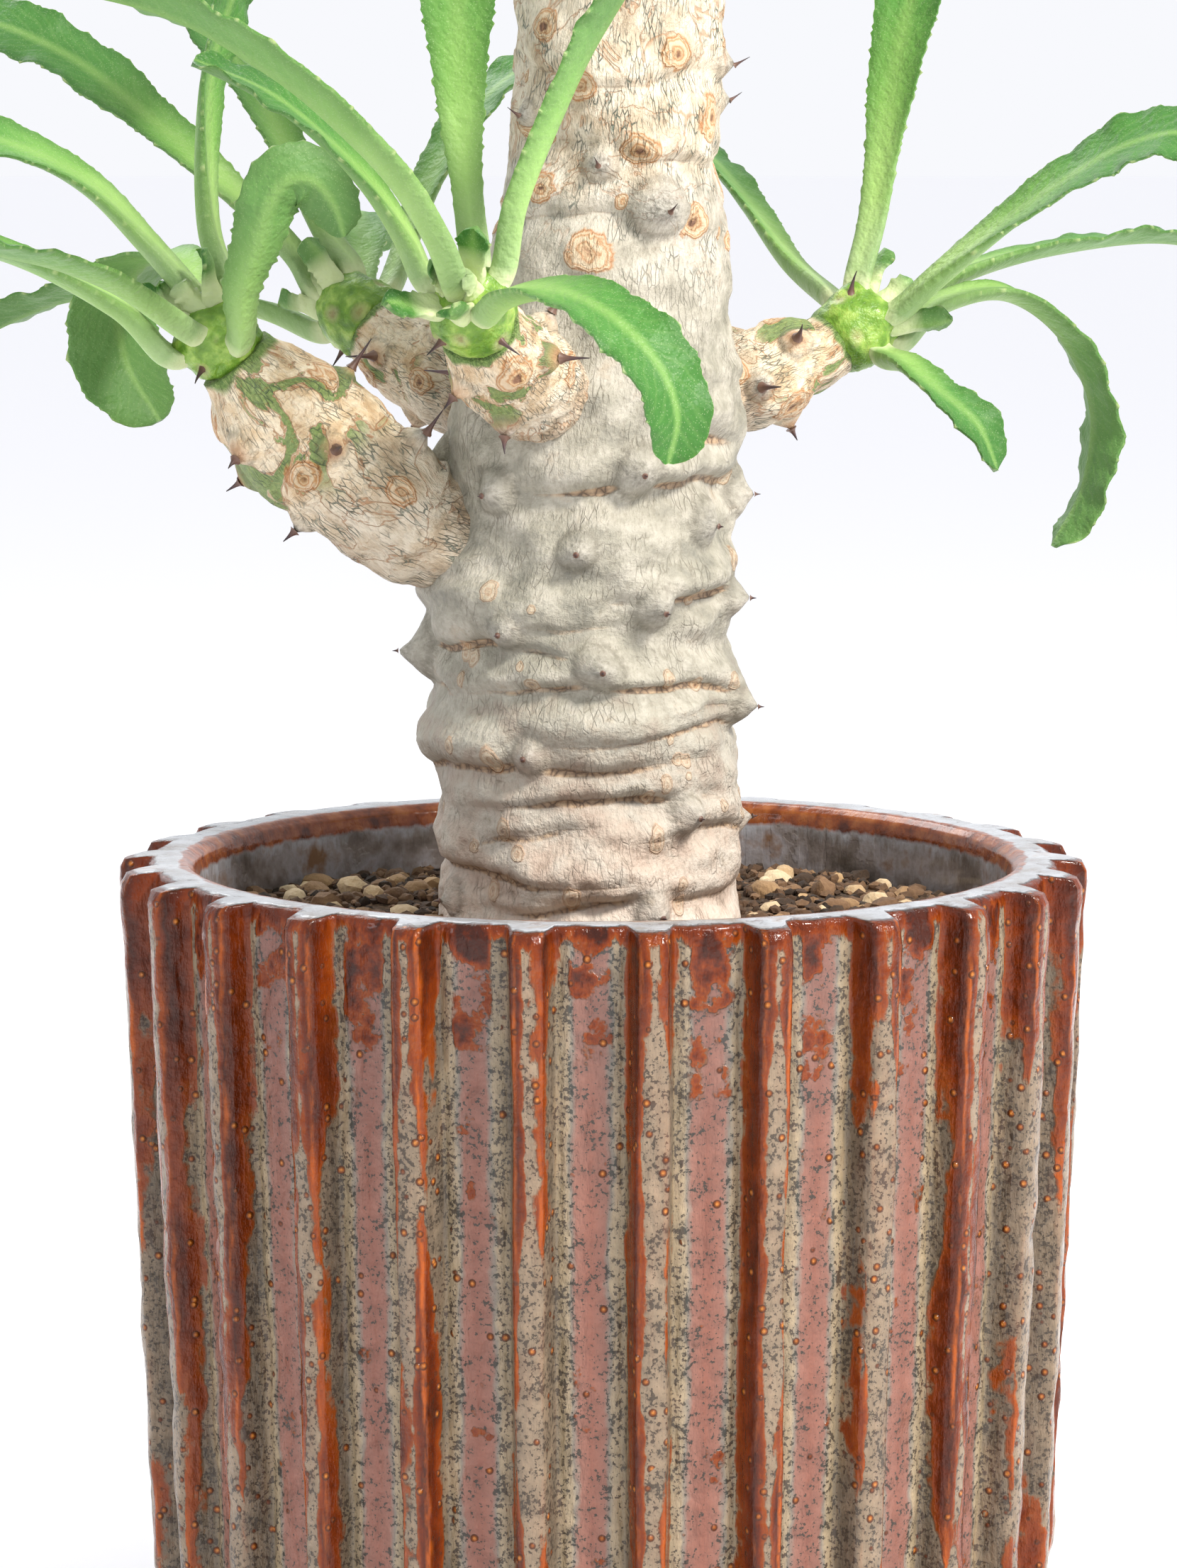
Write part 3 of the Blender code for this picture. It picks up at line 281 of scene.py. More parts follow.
# Lengths and rises in degrees, from the lowest leaf to the highest, and how far each bends down
TOP_LEAF_LENGTH = (0.092, 0.066)
TOP_LEAF_RISE = (8.0, 68.0)
TOP_LEAF_BEND = 40.0
TOP_LEAF_STEPS = 6

# Leaf form: columns of its mesh and length of a row, how deep its foot sinks in the tip, its
# stalk, thicknesses, how far its edges rise, and its teeth
LEAF_COLUMNS = 12
LEAF_ROW = 0.00052
LEAF_SINK = 0.0035
STALK_HALF_WIDTH = 0.0022
STALK_THICKNESS = 0.0034
RIB_THICKNESS = 0.0017
MIDRIB_WIDTH = 0.0013
BLADE_THICKNESS = 0.0009
EDGE_THICKNESS = 0.0004
BLADE_CHANNEL = 0.0012
# Waves of a leaf's edge: their height, and radians for each metre along the leaf
LEAF_WAVES = ((0.0006, 420.0), (0.0003, 1150.0))
TOOTH_PITCH = 0.0017
TOOTH_LENGTH = 0.0007
VEIN_SPACING = 0.002732
# Opening leaves at the middle of a tip, each of them longer than the one before
YOUNG_LEAVES = 5
YOUNG_LEAF_WIDTH = 0.0042
YOUNG_LEAF_LENGTH = 0.0045
YOUNG_LEAF_GROWTH = 0.0013
# Edges are shaded as sharp past these angles, in degrees
LEAF_SMOOTH = 70.0
SPINE_SMOOTH = 50.0
BASE_SMOOTH = 40.0
GRAIN_SMOOTH = 38.0

# The output of a node that is used where it isn't the first: Object coordinates, an attribute's
# number and a mixed colour
MAIN_OUTPUT = {"TexCoord": 3, "Attribute": 2, "Mix": 2}

# Camera, as worked out from the rim in the photo: its place, the degrees that it looks down,
# focal length in pixels, height of its sensor in millimetres and of the photo in pixels
CAMERA_PLACE = (-0.0022, -0.7430, 0.2404)
CAMERA_DROP = 7.58
CAMERA_FOCUS = 6850.0
CAMERA_SENSOR = 36.0
PHOTO_HEIGHT = 2212.0

# Floor, and the lamps: name, place, width, power in watts and colour
FLOOR_HALF = 30.0
LAMP_AIM = (0.0, 0.0, 0.19)
LAMPS = (
    ("key", (0.62, -0.56, 0.96), 0.22, 20.0, "FFF9F1"),
    ("back", (-0.35, 0.70, 0.85), 0.50, 4.0, "FFFFFF"),
    ("side", (-0.80, -0.60, 0.45), 0.12, 0.4, "F4F8FF"),
)


def smooth_step(place, start, end):
    """0 before the start, 1 after the end and a smooth rise between them."""
    share = np.clip((place - start) / (end - start), 0.0, 1.0)
    return share * share * (3.0 - 2.0 * share)


def bell(away, width):
    """1 in the middle and a soft fall to nearly 0 two widths from it."""
    return np.exp(-(away / width) ** 2)


def turned_from(angles, side):
    """How far round from the side each angle lies, at most half a turn either way."""
    return (angles - side + math.pi) % math.tau - math.pi


def between(ends, share):
    """The value at a share of the way from the first end to the second."""
    return ends[0] + (ends[1] - ends[0]) * share


def smoothed(values, width):
    """The values, each averaged over a soft window of the given odd number of them."""
    window = np.hanning(width)
    return np.convolve(np.pad(values, width // 2, "edge"), window / window.sum(), "valid")


def rough(points, size, octaves=3, offset=0.0):
    """Soft noise of about -1 to 1 at each point, with lumps of the given size in metres."""
    shift = Vector((offset, 2.7 * offset, 1.3 * offset))
    return np.array([noise.fractal(Vector(p) / size + shift, 1.0, 2.0, octaves) for p in points])


def smooth_path(points, count):
    """Evenly spaced points on one smooth curve through the given ones, and the curve's length."""
    knots = np.array(points, float)
    knots = np.vstack([2 * knots[0] - knots[1], knots, 2 * knots[-1] - knots[-2]])
    t = np.linspace(0.0, 1.0, 24, endpoint=False)[:, None]
    pieces = []
    for a, b, c, d in zip(knots, knots[1:], knots[2:], knots[3:]):
        pieces.append(0.5 * (2 * b + (c - a) * t + (2 * a - 5 * b + 4 * c - d) * t ** 2
                             + (3 * b - a - 3 * c + d) * t ** 3))
    fine = np.vstack([*pieces, knots[-2:-1]])
    reach = np.concatenate([[0.0], np.cumsum(np.linalg.norm(np.diff(fine, axis=0), axis=1))])
    steps = np.linspace(0.0, reach[-1], count)
    return np.column_stack([np.interp(steps, reach, fine[:, i]) for i in range(3)]), reach[-1]


def frames_along(path, first_up):
    """Tangent, side and up at each point of a path, carried along it with no twist."""
    tangents = np.gradient(path, axis=0)
    tangents /= np.linalg.norm(tangents, axis=1)[:, None]
    up = np.array(first_up, float)
    ups = []
    for tangent in tangents:
        up = up - tangent * up.dot(tangent)
        up = up / np.linalg.norm(up)
        ups.append(up)
    ups = np.array(ups)
    return tangents, np.cross(tangents, ups), ups


def bent_grid(columns, rows, shape, closed_round=True, closed_along=False):
    """A grid bent to a shape. shape(u, v) gives the points and named values for u and v in 0..1."""
    bm = bmesh.new()
    bm.loops.layers.uv.new("UVMap")
    bmesh.ops.create_grid(bm, x_segments=columns, y_segments=rows, size=0.5, calc_uvs=True)
    flat = np.array([vert.co[:2] for vert in bm.verts]) + 0.5
    places, values = shape(flat[:, 0], flat[:, 1])
    layers = {}
    for name, numbers in values.items():
        kinds = bm.verts.layers.float_vector if numbers.ndim == 2 else bm.verts.layers.float
        layers[name] = kinds.new(name)
    for i, vert in enumerate(bm.verts):
        vert.co = places[i]
        for name, layer in layers.items():
            number = values[name][i]
            vert[layer] = Vector(number) if values[name].ndim == 2 else number
    if closed_round or closed_along:
        bmesh.ops.remove_doubles(bm, verts=bm.verts, dist=1e-6)
    if closed_round and not closed_along:
        rims = [edge for edge in bm.edges if edge.is_boundary]
        bmesh.ops.holes_fill(bm, edges=rims, sides=0)
    bmesh.ops.recalc_face_normals(bm, faces=bm.faces)
    return bm


def new_object(name, bm):
    """A new object in the scene, with the bmesh as its mesh."""
    mesh = bpy.data.meshes.new(name)
    bm.to_mesh(mesh)
    bm.free()
    made = bpy.data.objects.new(name, mesh)
    bpy.context.scene.collection.objects.link(made)
    return made


def add_piece(name, bm, material, smooth_angle=180.0):
    """Make one finished piece of the object, which rides on the body."""
    piece = new_object(name, bm)
    piece.data.materials.append(material)
    piece.data.shade_smooth()
    if smooth_angle < 180.0:
        piece.data.set_sharp_from_angle(angle=math.radians(smooth_angle))
    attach(piece, "root")
    return piece


def colour(hex_value):
    """A linear colour from an sRGB hex value such as 5A8F3C."""
    parts = [int(hex_value[i:i + 2], 16) / 255.0 for i in (0, 2, 4)]
    linear = [p / 12.92 if p <= 0.04045 else ((p + 0.055) / 1.055) ** 2.4 for p in parts]
    return (*linear, 1.0)


def add(tree, kind, *inputs, out=None, size=None, stops=(), **named):
    """Add a node and give back one of its outputs. A kind in capitals is an operation of a Math
    node. The inputs fill its sockets in order, named ones with a capital are sockets and the
    others settings, size is a pattern's spacing in millimetres, and stops are a ramp's."""
    made = tree.nodes.new("ShaderNodeMath" if kind.isupper() else "ShaderNode" + kind)
    places = range(len(inputs))
    if kind.isupper():
        made.operation = kind
    if kind == "Mix":
        made.data_type = "RGBA"
        places = (0, 6, 7)
    sockets = dict(zip(places, inputs))
    for name, value in named.items():
        if name[0].isupper():
            sockets[name] = value
        else:
            setattr(made, name, value)
    if size:
        sockets["Scale"] = 1.0 / (size * MM)
    for number, (position, shade) in enumerate(stops):
        ramp = made.color_ramp.elements
        element = ramp[number] if number < len(ramp) else ramp.new(position)
        element.position = position
        element.color = colour(shade) if isinstance(shade, str) else (shade, shade, shade, 1.0)
    for name, value in sockets.items():
        if isinstance(value, bpy.types.NodeSocket):
            tree.links.new(value, made.inputs[name])
        else:
            made.inputs[name].default_value = colour(value) if isinstance(value, str) else value
    return made.outputs[MAIN_OUTPUT.get(kind, 0) if out is None else out]


def new_material(name, **settings):
    """A material whose shader holds the settings in its own sockets, and its adder of nodes."""
    material = bpy.data.materials.new(name)
    material.use_nodes = True
    shader = material.node_tree.nodes["Principled BSDF"]
    for socket, value in settings.items():
        shader.inputs[socket.replace("_", " ")].default_value = value
    return material, partial(add, material.node_tree)


def finished(material, **results):
    """The material, with the results linked to its shader's sockets."""
    tree = material.node_tree
    for socket, result in results.items():
        tree.links.new(result, tree.nodes["Principled BSDF"].inputs[socket.replace("_", " ")])
    return material


def bark_material():
    """Euphorbia bark: waxy silver skin low down, cream papery skin with green showing above."""
    material, node = new_material("euphorbia_bark", IOR=1.45)
    place = node("Attribute", out=1, attribute_name="bark_place")
    young, scar, nub, crease = (
        node("Attribute", attribute_name=name) for name in ("young", "scar", "nub", "crease"))
    height = node("SeparateXYZ", place, out=2)
    blotch = node("TexNoise", place, size=5.263, Detail=5.0, Roughness=0.65)
    patch = node("TexNoise", place, size=9.524, Detail=4.0, Roughness=0.55, Distortion=0.8)
    swirl = node("TexNoise", place, size=4.348, Detail=3.0, Distortion=1.2)
    fine = node("TexNoise", place, size=0.6667, Detail=4.0, Roughness=0.65)
    # Silver skin low on the trunk, pinkish tan towards the soil, cream paper higher up
    silver = node("ValToRGB", blotch, stops=(
        (0.30, "7A786D"), (0.46, "999587"), (0.60, "B2ADA0"), (0.74, "A69A88")))
    tan = node("ValToRGB", blotch, stops=(
        (0.30, "A99484"), (0.46, "CCB9A9"), (0.62, "E0D2C5"), (0.76, "C3AB97")))
    cream = node("ValToRGB", blotch, stops=(
        (0.28, "9C9585"), (0.44, "B6AFA1"), (0.60, "CAC3B6"), (0.76, "B8A995")))
    low = node("MULTIPLY_ADD", blotch, 0.08, height)
    low = node("MapRange", low, 0.163, 0.195, 0.95, 0.0)
    creamy = node("MapRange", young, 0.05, 0.70)
    # Orange-tan paper on the branches, and a breath of it at the top of the trunk
    paper = node("ValToRGB", blotch, stops=(
        (0.30, "AD8B62"), (0.44, "CFB590"), (0.58, "E5D7BD"), (0.74, "C29C70")))
    papery = node("MapRange", young, 0.64, 0.94, 0.0, 0.9)
    # Fine mottling that follows the grain of the skin, upright lines 0.5 mm apart
    grainy = node("Mapping", place, Scale=(1.0, 1.0, 0.40))
    grainy = node("TexNoise", grainy, size=0.5263, Detail=3.0, Roughness=0.6)
    tint = node("MapRange", grainy, 0.32, 0.50, 0.30, 0.0)
    # Green living skin shows where the papery one has come off, on the branches
    green = node("ValToRGB", fine, stops=(
        (0.30, "4A6530"), (0.52, "66823F"), (0.70, "8A9A5C")))
    branch = node("MapRange", young, 0.86, 0.98, 0.0, 0.9)
    show = node("MULTIPLY", node("MapRange", patch, 0.535, 0.547), branch)
    # Winding orange-brown lines where a layer of the skin ends
    away = node("ABSOLUTE", node("SUBTRACT", patch, 0.529))
    line = node("MapRange", away, 0.003, 0.014, 1.0, 0.0)
    away = node("ABSOLUTE", node("SUBTRACT", swirl, 0.5))
    line = node("MAXIMUM", line, node("MapRange", away, 0.002, 0.010, 0.4, 0.0))
    line = node("MULTIPLY", line, node("MapRange", young, 0.35, 0.9, 0.0, 0.70))
    # Short upright fissures, 0.8 mm apart and 1 to 3 mm long, faint on the old skin
    warp = node("TexNoise", place, size=1.429, Detail=2.0, out=1)
    warp = node("VectorMath", warp, (0.0004, 0.0004, 0.0008), place, operation="MULTIPLY_ADD")
    warp = node("Mapping", warp, Scale=(1.0, 1.0, 0.26))
    cells = node("TexVoronoi", warp, size=0.8, feature="DISTANCE_TO_EDGE")
    crack = node("MapRange", cells, 0.01, 0.065, 1.0, 0.0)
    some = node("TexNoise", place, size=3.846, Detail=3.0)
    some = node("MapRange", some, 0.47, 0.60)
    some = node("MULTIPLY", some, node("MapRange", nub, 0.85, 1.15))
    split = node("MULTIPLY", crack, some)
    split = node("MULTIPLY", split, node("MapRange", young, 0.35, 0.74, 0.30, 0.85))
    shown = node("MULTIPLY", split, node("MapRange", young, 0.80, 1.0, 1.0, 0.6))
    dark = node("Mix", creamy, "6B6252", "5B6B60")
    # Cracked tan skin along the creases in patches; painted shade and stain darken the bottom of
    # each
    flakes = node("TexVoronoi", place, size=1.25, feature="DISTANCE_TO_EDGE")
    flakes = node("ValToRGB", flakes, stops=(
        (0.02, "5A4330"), (0.10, "94775A"), (0.30, "B29778")))
    folds = node("MapRange", node("MULTIPLY", crease, patch), 0.16, 0.34, 0.0, 0.85)
    # Painted shade with brown stain: a dark line at the bottom of each crease
    deep = node("MapRange", crease, 0.72, 1.15, 0.0, 0.65)
    # Tubercles: smooth, with a grey-brown cone; pinkish discs on the branches
    knob = node("MULTIPLY_ADD", swirl, 0.5, nub)
    knob = node("MapRange", knob, 0.60, 1.20, 1.0, 0.0)
    knob = node("MULTIPLY", knob, node("MapRange", young, 0.0, 0.6, 0.55, 0.85))
    grey = node("ValToRGB", fine, stops=(
        (0.36, "67635B"), (0.50, "949087"), (0.66, "B3AEA6")))
    pink = node("ValToRGB", blotch, stops=(
        (0.32, "8A5C3C"), (0.52, "A97D58"), (0.70, "BF9C76")))
    specks = node("Mix", branch, grey, pink)
    # Dark dots of painted shade crowd round the foot of each swelling
    away = node("ABSOLUTE", node("SUBTRACT", nub, 0.98))
    rim = node("MapRange", away, 0.02, 0.42, 0.22, 0.0)
    dots = node("MapRange", node("ADD", fine, rim), 0.52, 0.70, 0.0, 0.40)
    dots = node("MULTIPLY", node("MULTIPLY", dots, rim), 5.0)
    # Leaf scars: pale pads with a thin broken orange-brown rim and a dark pit
    reach = node("ADD", scar, node("MULTIPLY_ADD", swirl, 1.2, -0.6))
    disc = node("ValToRGB", reach, stops=(
        (0.06, "6B4128"), (0.15, "A27A53"), (0.26, "C4A57F"), (0.36, "A87443"), (0.46, "C9B191"),
        (0.62, "CDB99C"), (0.72, "AE7C4A"), (0.80, "CDB596"), (0.90, "A2672F"), (1.0, "BC9468")))
    inside = node("MapRange", reach, 0.90, 1.04, 1.0, 0.0)
    inside = node("MULTIPLY", inside, node("MapRange", young, 0.0, 0.5, 0.45, 0.9))
    # The skin turns green only in the last millimetre under a growing tip
    collar = node("MapRange", young, 1.60, 1.95)
    # All of these lie over the silver skin, in this order
    skin = silver
    for mask, shade in (
            (low, tan), (creamy, cream), (papery, paper), (tint, "6E6656"), (show, green),
            (line, "9A6433"), (shown, dark), (folds, flakes), (deep, "4E3F33"), (knob, specks),
            (dots, "544F43"), (inside, disc), (collar, green)):
        skin = node("Mix", mask, skin, shade)
    dull = node("MapRange", blotch, 0.3, 0.7, 0.52, 0.74)
    # Relief: fissures 0.2 mm deep, peeling edges and the rims of the scars
    ring = node("ValToRGB", reach, stops=(
        (0.06, 0.0), (0.2, 0.5), (0.72, 0.55), (0.84, 1.0), (0.92, 0.45), (1.0, 0.3)))
    relief = node("MULTIPLY", split, -1.0)
    for part, much in ((fine, 0.7), (grainy, 0.9), (show, -0.6), (line, -0.6), (blotch, 2.0),
                       (folds, -0.6), (ring, 0.6)):
        relief = node("MULTIPLY_ADD", part, much, relief)
    normal = node("Bump", Strength=1.0, Distance=0.00036, Height=relief)
    return finished(material, Base_Color=skin, Roughness=dull, Normal=normal)


def spine_material():
    """Dry horn-like spines: tan at the foot, dark brown to purple at the point."""
    material, node = new_material("dry_spine", Roughness=0.5, IOR=1.5)
    along = node("Attribute", attribute_name="along")
    place = node("TexCoord")
    grain = node("TexNoise", place, size=1.111, Detail=2.0)
    mixed = node("MULTIPLY_ADD", grain, 0.3, along)
    tone = node("ValToRGB", mixed, stops=(
        (0.10, "6E5345"), (0.35, "5B3F34"), (0.70, "453033"), (1.0, "2E2225")))
    return finished(material, Base_Color=tone)


def tip_material():
    """Living skin of a growing tip: bright waxy green, with pale scars where leaves fell."""
    material, node = new_material(
        "growing_tip_skin", Roughness=0.42, IOR=1.45, Subsurface_Weight=0.12,
        Subsurface_Scale=0.002, Coat_Weight=0.1)
    place = node("TexCoord")
    scar = node("Attribute", attribute_name="scar")
    blotch = node("TexNoise", place, size=2.381, Detail=4.0)
    fine = node("TexNoise", place, size=0.4545, Detail=2.0)
    skin = node("ValToRGB", blotch, stops=(
        (0.30, "48701A"), (0.50, "688F2B"), (0.68, "97B452")))
    reach = node("ADD", scar, node("MULTIPLY_ADD", blotch, 0.5, -0.25))
    pale = node("MapRange", reach, 0.50, 1.0, 0.45, 0.0)
    core = node("MapRange", reach, 0.1, 0.45, 0.6, 0.0)
    for mask, shade in ((pale, "AFA67C"), (core, "7D5A33")):
        skin = node("Mix", mask, skin, shade)
    relief = node("MULTIPLY_ADD", fine, 0.4, blotch)
    normal = node("Bump", Strength=1.0, Distance=0.0005, Height=relief)
    return finished(material, Base_Color=skin, Normal=normal)


def leaf_material():
    """Fleshy leaf: pale stalk and midrib, mid-green blade, dark edge with pale tooth points."""
    material, node = new_material(
        "fleshy_leaf", IOR=1.36, Subsurface_Weight=0.15, Subsurface_Scale=0.0018,
        Subsurface_Radius=(0.8, 1.0, 0.3))
    blade = node("Attribute", out=1, attribute_name="blade")
    across, along, share = (node("SeparateXYZ", blade, out=axis) for axis in range(3))
    edge, under, tone = (
        node("Attribute", attribute_name=name) for name in ("edge", "under", "tone"))
    place = node("TexCoord")
    soft = node("TexNoise", place, size=6.667, Detail=3.0)
    fine = node("TexNoise", place, size=0.6667, Detail=3.0)
    shifted = node("MULTIPLY_ADD", soft, 0.16, share)
    skin = node("ValToRGB", shifted, stops=(
        (0.12, "D2E4B2"), (0.28, "A8CA79"), (0.46, "6F9C4A"), (0.68, "4A7F36"), (0.95, "396C2A")))
    # Midrib: a paler band that narrows towards the leaf's end
    flat = node("ABSOLUTE", across)
    band = node("MapRange", share, 0.2, 1.0, 0.0020, 0.0004)
    near = node("DIVIDE", flat, band)
    rib = node("MapRange", near, 0.25, 1.4, 0.50, 0.0)
    # Faint side veins, drawn a little wider than they are so that they show
    lean = node("MULTIPLY_ADD", flat, -1.3, along)
    lean = node("MULTIPLY_ADD", soft, 0.006, lean)
    vein = node("SINE", node("MULTIPLY", lean, math.tau / VEIN_SPACING))
    vein = node("MapRange", vein, 0.3, 1.0, 0.0, 0.09)
    # The edge is darker, and the teeth end in pale points
    rim = node("MapRange", edge, 0.0002, 0.0022, 0.55, 0.0)
    point = node("MapRange", edge, -0.0005, -0.0002, 0.5, 0.0)
    # Fine pale breathing pores, 0.35 mm apart
    pores = node("TexVoronoi", place, size=0.3571)
    dots = node("MapRange", pores, 0.10, 0.28, 0.30, 0.0)
    below = node("MULTIPLY", under, 0.30)
    # The foot of the stalk is nearly white where it leaves the growing tip
    foot = node("MapRange", along, 0.0034, 0.0060, 0.7, 0.0)
    # All of these lie over the green, in this order
    for mask, shade in (
            (rib, "86AB5C"), (vein, "8FAB69"), (rim, "2B5A20"), (point, "B7C08C"),
            (dots, "B9C69C"), (below, "86A768"), (foot, "D2D9AC")):
        skin = node("Mix", mask, skin, shade)
    # Each leaf is a little lighter or darker than the others
    skin = node("HueSaturation", Value=tone, Color=skin)
    gloss = node("MapRange", soft, 0.3, 0.7, 0.46, 0.60)
    pucker = node("TexNoise", place, size=1.613, Detail=2.0)
    relief = node("MULTIPLY_ADD", vein, -2.0, fine)
    relief = node("MULTIPLY_ADD", pucker, 2.5, relief)
    normal = node("Bump", Strength=0.6, Distance=0.00025, Height=relief)
    return finished(material, Base_Color=skin, Roughness=gloss, Normal=normal)


def glaze_material():
    """Reduction-fired stoneware glaze: it breaks amber and orange over the ribs, and pools
    cream with iron specks and dusty pink between them."""
    material, node = new_material(
        "stoneware_glaze", IOR=1.45, Specular_IOR_Level=0.22, Coat_Weight=0.22,
        Coat_Roughness=0.04)
    side, ribbed, rim, lip = (
        node("Attribute", attribute_name=name) for name in ("rib_side", "ribbed", "rim", "lip"))
    place = node("TexCoord")
    height = node("SeparateXYZ", place, out=2)
    # The glaze ran down as it melted, so its patterns are four times as tall as wide
    run = node("Mapping", place, Scale=(1.0, 1.0, 0.24))
    soft = node("TexNoise", run, size=3.333, Detail=5.0, Roughness=0.65)
    big = node("TexNoise", run, size=11.76, Detail=3.0, Roughness=0.5)
    lump = node("TexNoise", place, size=2.778, Detail=3.0)
    drops = node("TexNoise", place, size=7.143, Detail=4.0, Roughness=0.6)
    fleck = node("TexNoise", place, size=0.6667, Detail=3.0, Roughness=0.65)
    # Millimetres from the middle of the nearest rib, with ragged borders; a groove's is at 9
    ragged = -2.9
    for part, much in ((soft, 2.2), (lump, 1.6), (big, 2.0)):
        ragged = node("MULTIPLY_ADD", part, much, ragged)
    reach = node("ADD", side, ragged)
    share = node("DIVIDE", reach, RIB_ARCS[-1] / MM)
    bands = node("ValToRGB", share, stops=(
        (0.00, "A08D76"), (0.20, "93826C"), (0.34, "736959"), (0.44, "A89778"), (0.60, "BCAB8D"),
        (0.67, "92867A"), (0.75, "98695B"), (1.00, "905B4C")))
    # Dark iron specks 0.2 to 0.5 mm wide, dense on the cream and the ribs, few on the pink
    belt = node("MapRange", reach, 6.2, 7.2, 0.085, 0.035)
    crowd = node("ADD", fleck, node("MULTIPLY_ADD", lump, 0.35, belt))
    spot = node("MapRange", crowd, 0.800, 0.830, 0.0, 0.9)
    skin = node("Mix", spot, bands, "33312B")
    # Blue-grey haze in the upper grooves
    haze = node("MapRange", height, 0.090, 0.126, 0.0, 0.5)
    haze = node("MULTIPLY", haze, drops)
    haze = node("MULTIPLY", haze, node("MapRange", reach, 3.6, 4.4))
    skin = node("Mix", haze, skin, "5B6468")
    # Amber follows the two edges of each rib, 0.5 to 4 mm wide, and all of it near the rim
    high = node("MapRange", height, 0.096, 0.128, 0.0, 0.21)
    half = node("MapRange", node("ADD", big, high), 0.44, 0.62, -0.1, 1.9)
    away = node("ABSOLUTE", node("SUBTRACT", reach, 2.2))
    deep = node("SUBTRACT", half, away)
    # Patches of it lie in the grooves too, more of them near the rim
    pooled = node("MapRange", node("ADD", drops, high), 0.62, 0.80, -0.3, 1.8)
    pooled = node("MULTIPLY", pooled, node("MapRange", reach, 5.6, 6.6))
    deep = node("MAXIMUM", deep, pooled)
    top = node("MULTIPLY_ADD", soft, 0.008, height)
    top = node("MapRange", top, 0.1300, 0.1335, -1.0, 1.0)
    deep = node("MAXIMUM", deep, top)
    # Thin at its border it is tan, and where it is thick almost black-brown
    thick = node("MULTIPLY_ADD", soft, 1.6, -0.8)
    thick = node("DIVIDE", node("ADD", thick, deep), 2.0)
    amber = node("ValToRGB", thick, stops=(
        (0.00, "6E4A34"), (0.10, "803C10"), (0.30, "702D07"), (0.58, "561F05"), (0.95, "331206")))
    runs = node("MapRange", deep, -0.05, 0.30)
    # On the sharp edges of the ribs the glaze is thinnest and glows orange
    edge = node("MULTIPLY_ADD", lump, 0.8, -2.3)
    away = node("ABSOLUTE", node("ADD", side, edge))
    edge = node("MapRange", away, 0.10, 0.50, 1.0, 0.0)
    glow = node("MapRange", soft, 0.44, 0.62, 0.0, 0.7)
    glow = node("MULTIPLY", glow, edge)
    amber = node("Mix", glow, amber, "B4560F")
    # A dark grey-green line runs beside the amber
    beside = node("MapRange", deep, -0.75, -0.10, 0.0, 0.75)
    beside = node("MULTIPLY", beside, lump)
    skin = node("Mix", beside, skin, "2F3431")
    skin = node("Mix", runs, skin, amber)
    # Small raised beads of orange glaze, mostly on the ribs, painted lighter in the middle as a
    # highlight and dark round the foot as shade
    beads, pick = (node("TexVoronoi", place, size=2.326, out=output) for output in (0, 1))
    pick = node("SeparateColor", pick)
    pick = node("GREATER_THAN", pick, node("MapRange", reach, 3.0, 5.0, 0.50, 0.86))
    beaded = node("MULTIPLY", pick, ribbed)
    bead = node("MapRange", beads, 0.10, 0.25, 1.0, 0.0)
    bead = node("MULTIPLY", bead, beaded)
    foot = node("MapRange", beads, 0.25, 0.31, 0.9, 0.0)
    foot = node("MULTIPLY", foot, beaded)
    bead_glaze_with_painted_light = node("ValToRGB", beads, stops=(
        (0.06, "B8722C"), (0.15, "94501A"), (0.22, "5E2C12"), (0.29, "33231A")))
    skin = node("Mix", foot, skin, bead_glaze_with_painted_light)
    # The inside is grey-brown, its lip amber, and the top of the rim a painted pale blue-grey
    # reflection, mottled brown
    pale = node("ValToRGB", drops, stops=(
        (0.32, "85817F"), (0.46, "999CA2"), (0.60, "ADB1B9"), (0.76, "957C69")))
    inner = node("ValToRGB", drops, stops=(
        (0.30, "4E4640"), (0.46, "756C68"), (0.58, "8F8A8C"), (0.72, "735844")))
    skin = node("Mix", ribbed, inner, skin)
    # The pale blue-grey on the rim's top is painted reflection
    rim_top_painted_reflection = node("MULTIPLY_ADD", soft, 1.4, rim)
    rim_top_painted_reflection = node("MapRange", rim_top_painted_reflection, 1.20, 1.60)
    skin = node("Mix", rim_top_painted_reflection, skin, pale)
    warm = node("ValToRGB", lump, stops=(
        (0.30, "4E2413"), (0.50, "80401C"), (0.68, "985A30")))
    lipped = node("MULTIPLY_ADD", soft, 1.2, lip)
    lipped = node("MapRange", lipped, 0.95, 1.25)
    skin = node("Mix", lipped, skin, warm)
    gloss = node("MapRange", runs, 0.0, 1.0, 0.30, 0.12)
    outer = node("MAXIMUM", ribbed, rim)
    gloss = node("ADD", gloss, node("MapRange", outer, 0.0, 0.5, -0.08, 0.0))
    relief = bead
    for part, much in ((lump, 1.6), (soft, 1.6), (fleck, 0.2), (runs, 0.35)):
        relief = node("MULTIPLY_ADD", part, much, relief)
    # The inside and the top of the rim are smooth
    rough_part = node("SUBTRACT", ribbed, rim_top_painted_reflection, use_clamp=True)
    relief = node("MULTIPLY", relief, node("MapRange", rough_part, 0.0, 1.0, 0.25, 1.0))
    normal = node("Bump", Strength=0.85, Distance=0.0006, Height=relief)
    return finished(material, Base_Color=skin, Roughness=gloss, Normal=normal)


def soil_material():
    """Moist peaty potting mix between the grains: very dark brown and rough."""
    material, node = new_material("potting_mix", Roughness=0.92, IOR=1.4)
    place = node("TexCoord")
    lumps = node("TexNoise", place, size=2, Detail=5.0, Roughness=0.7)
    tone = node("ValToRGB", lumps, stops=(
        (0.32, "241B15"), (0.50, "4A3828"), (0.70, "735A41")))
    normal = node("Bump", Strength=1.0, Distance=0.0008, Height=lumps)
    return finished(material, Base_Color=tone, Normal=normal)


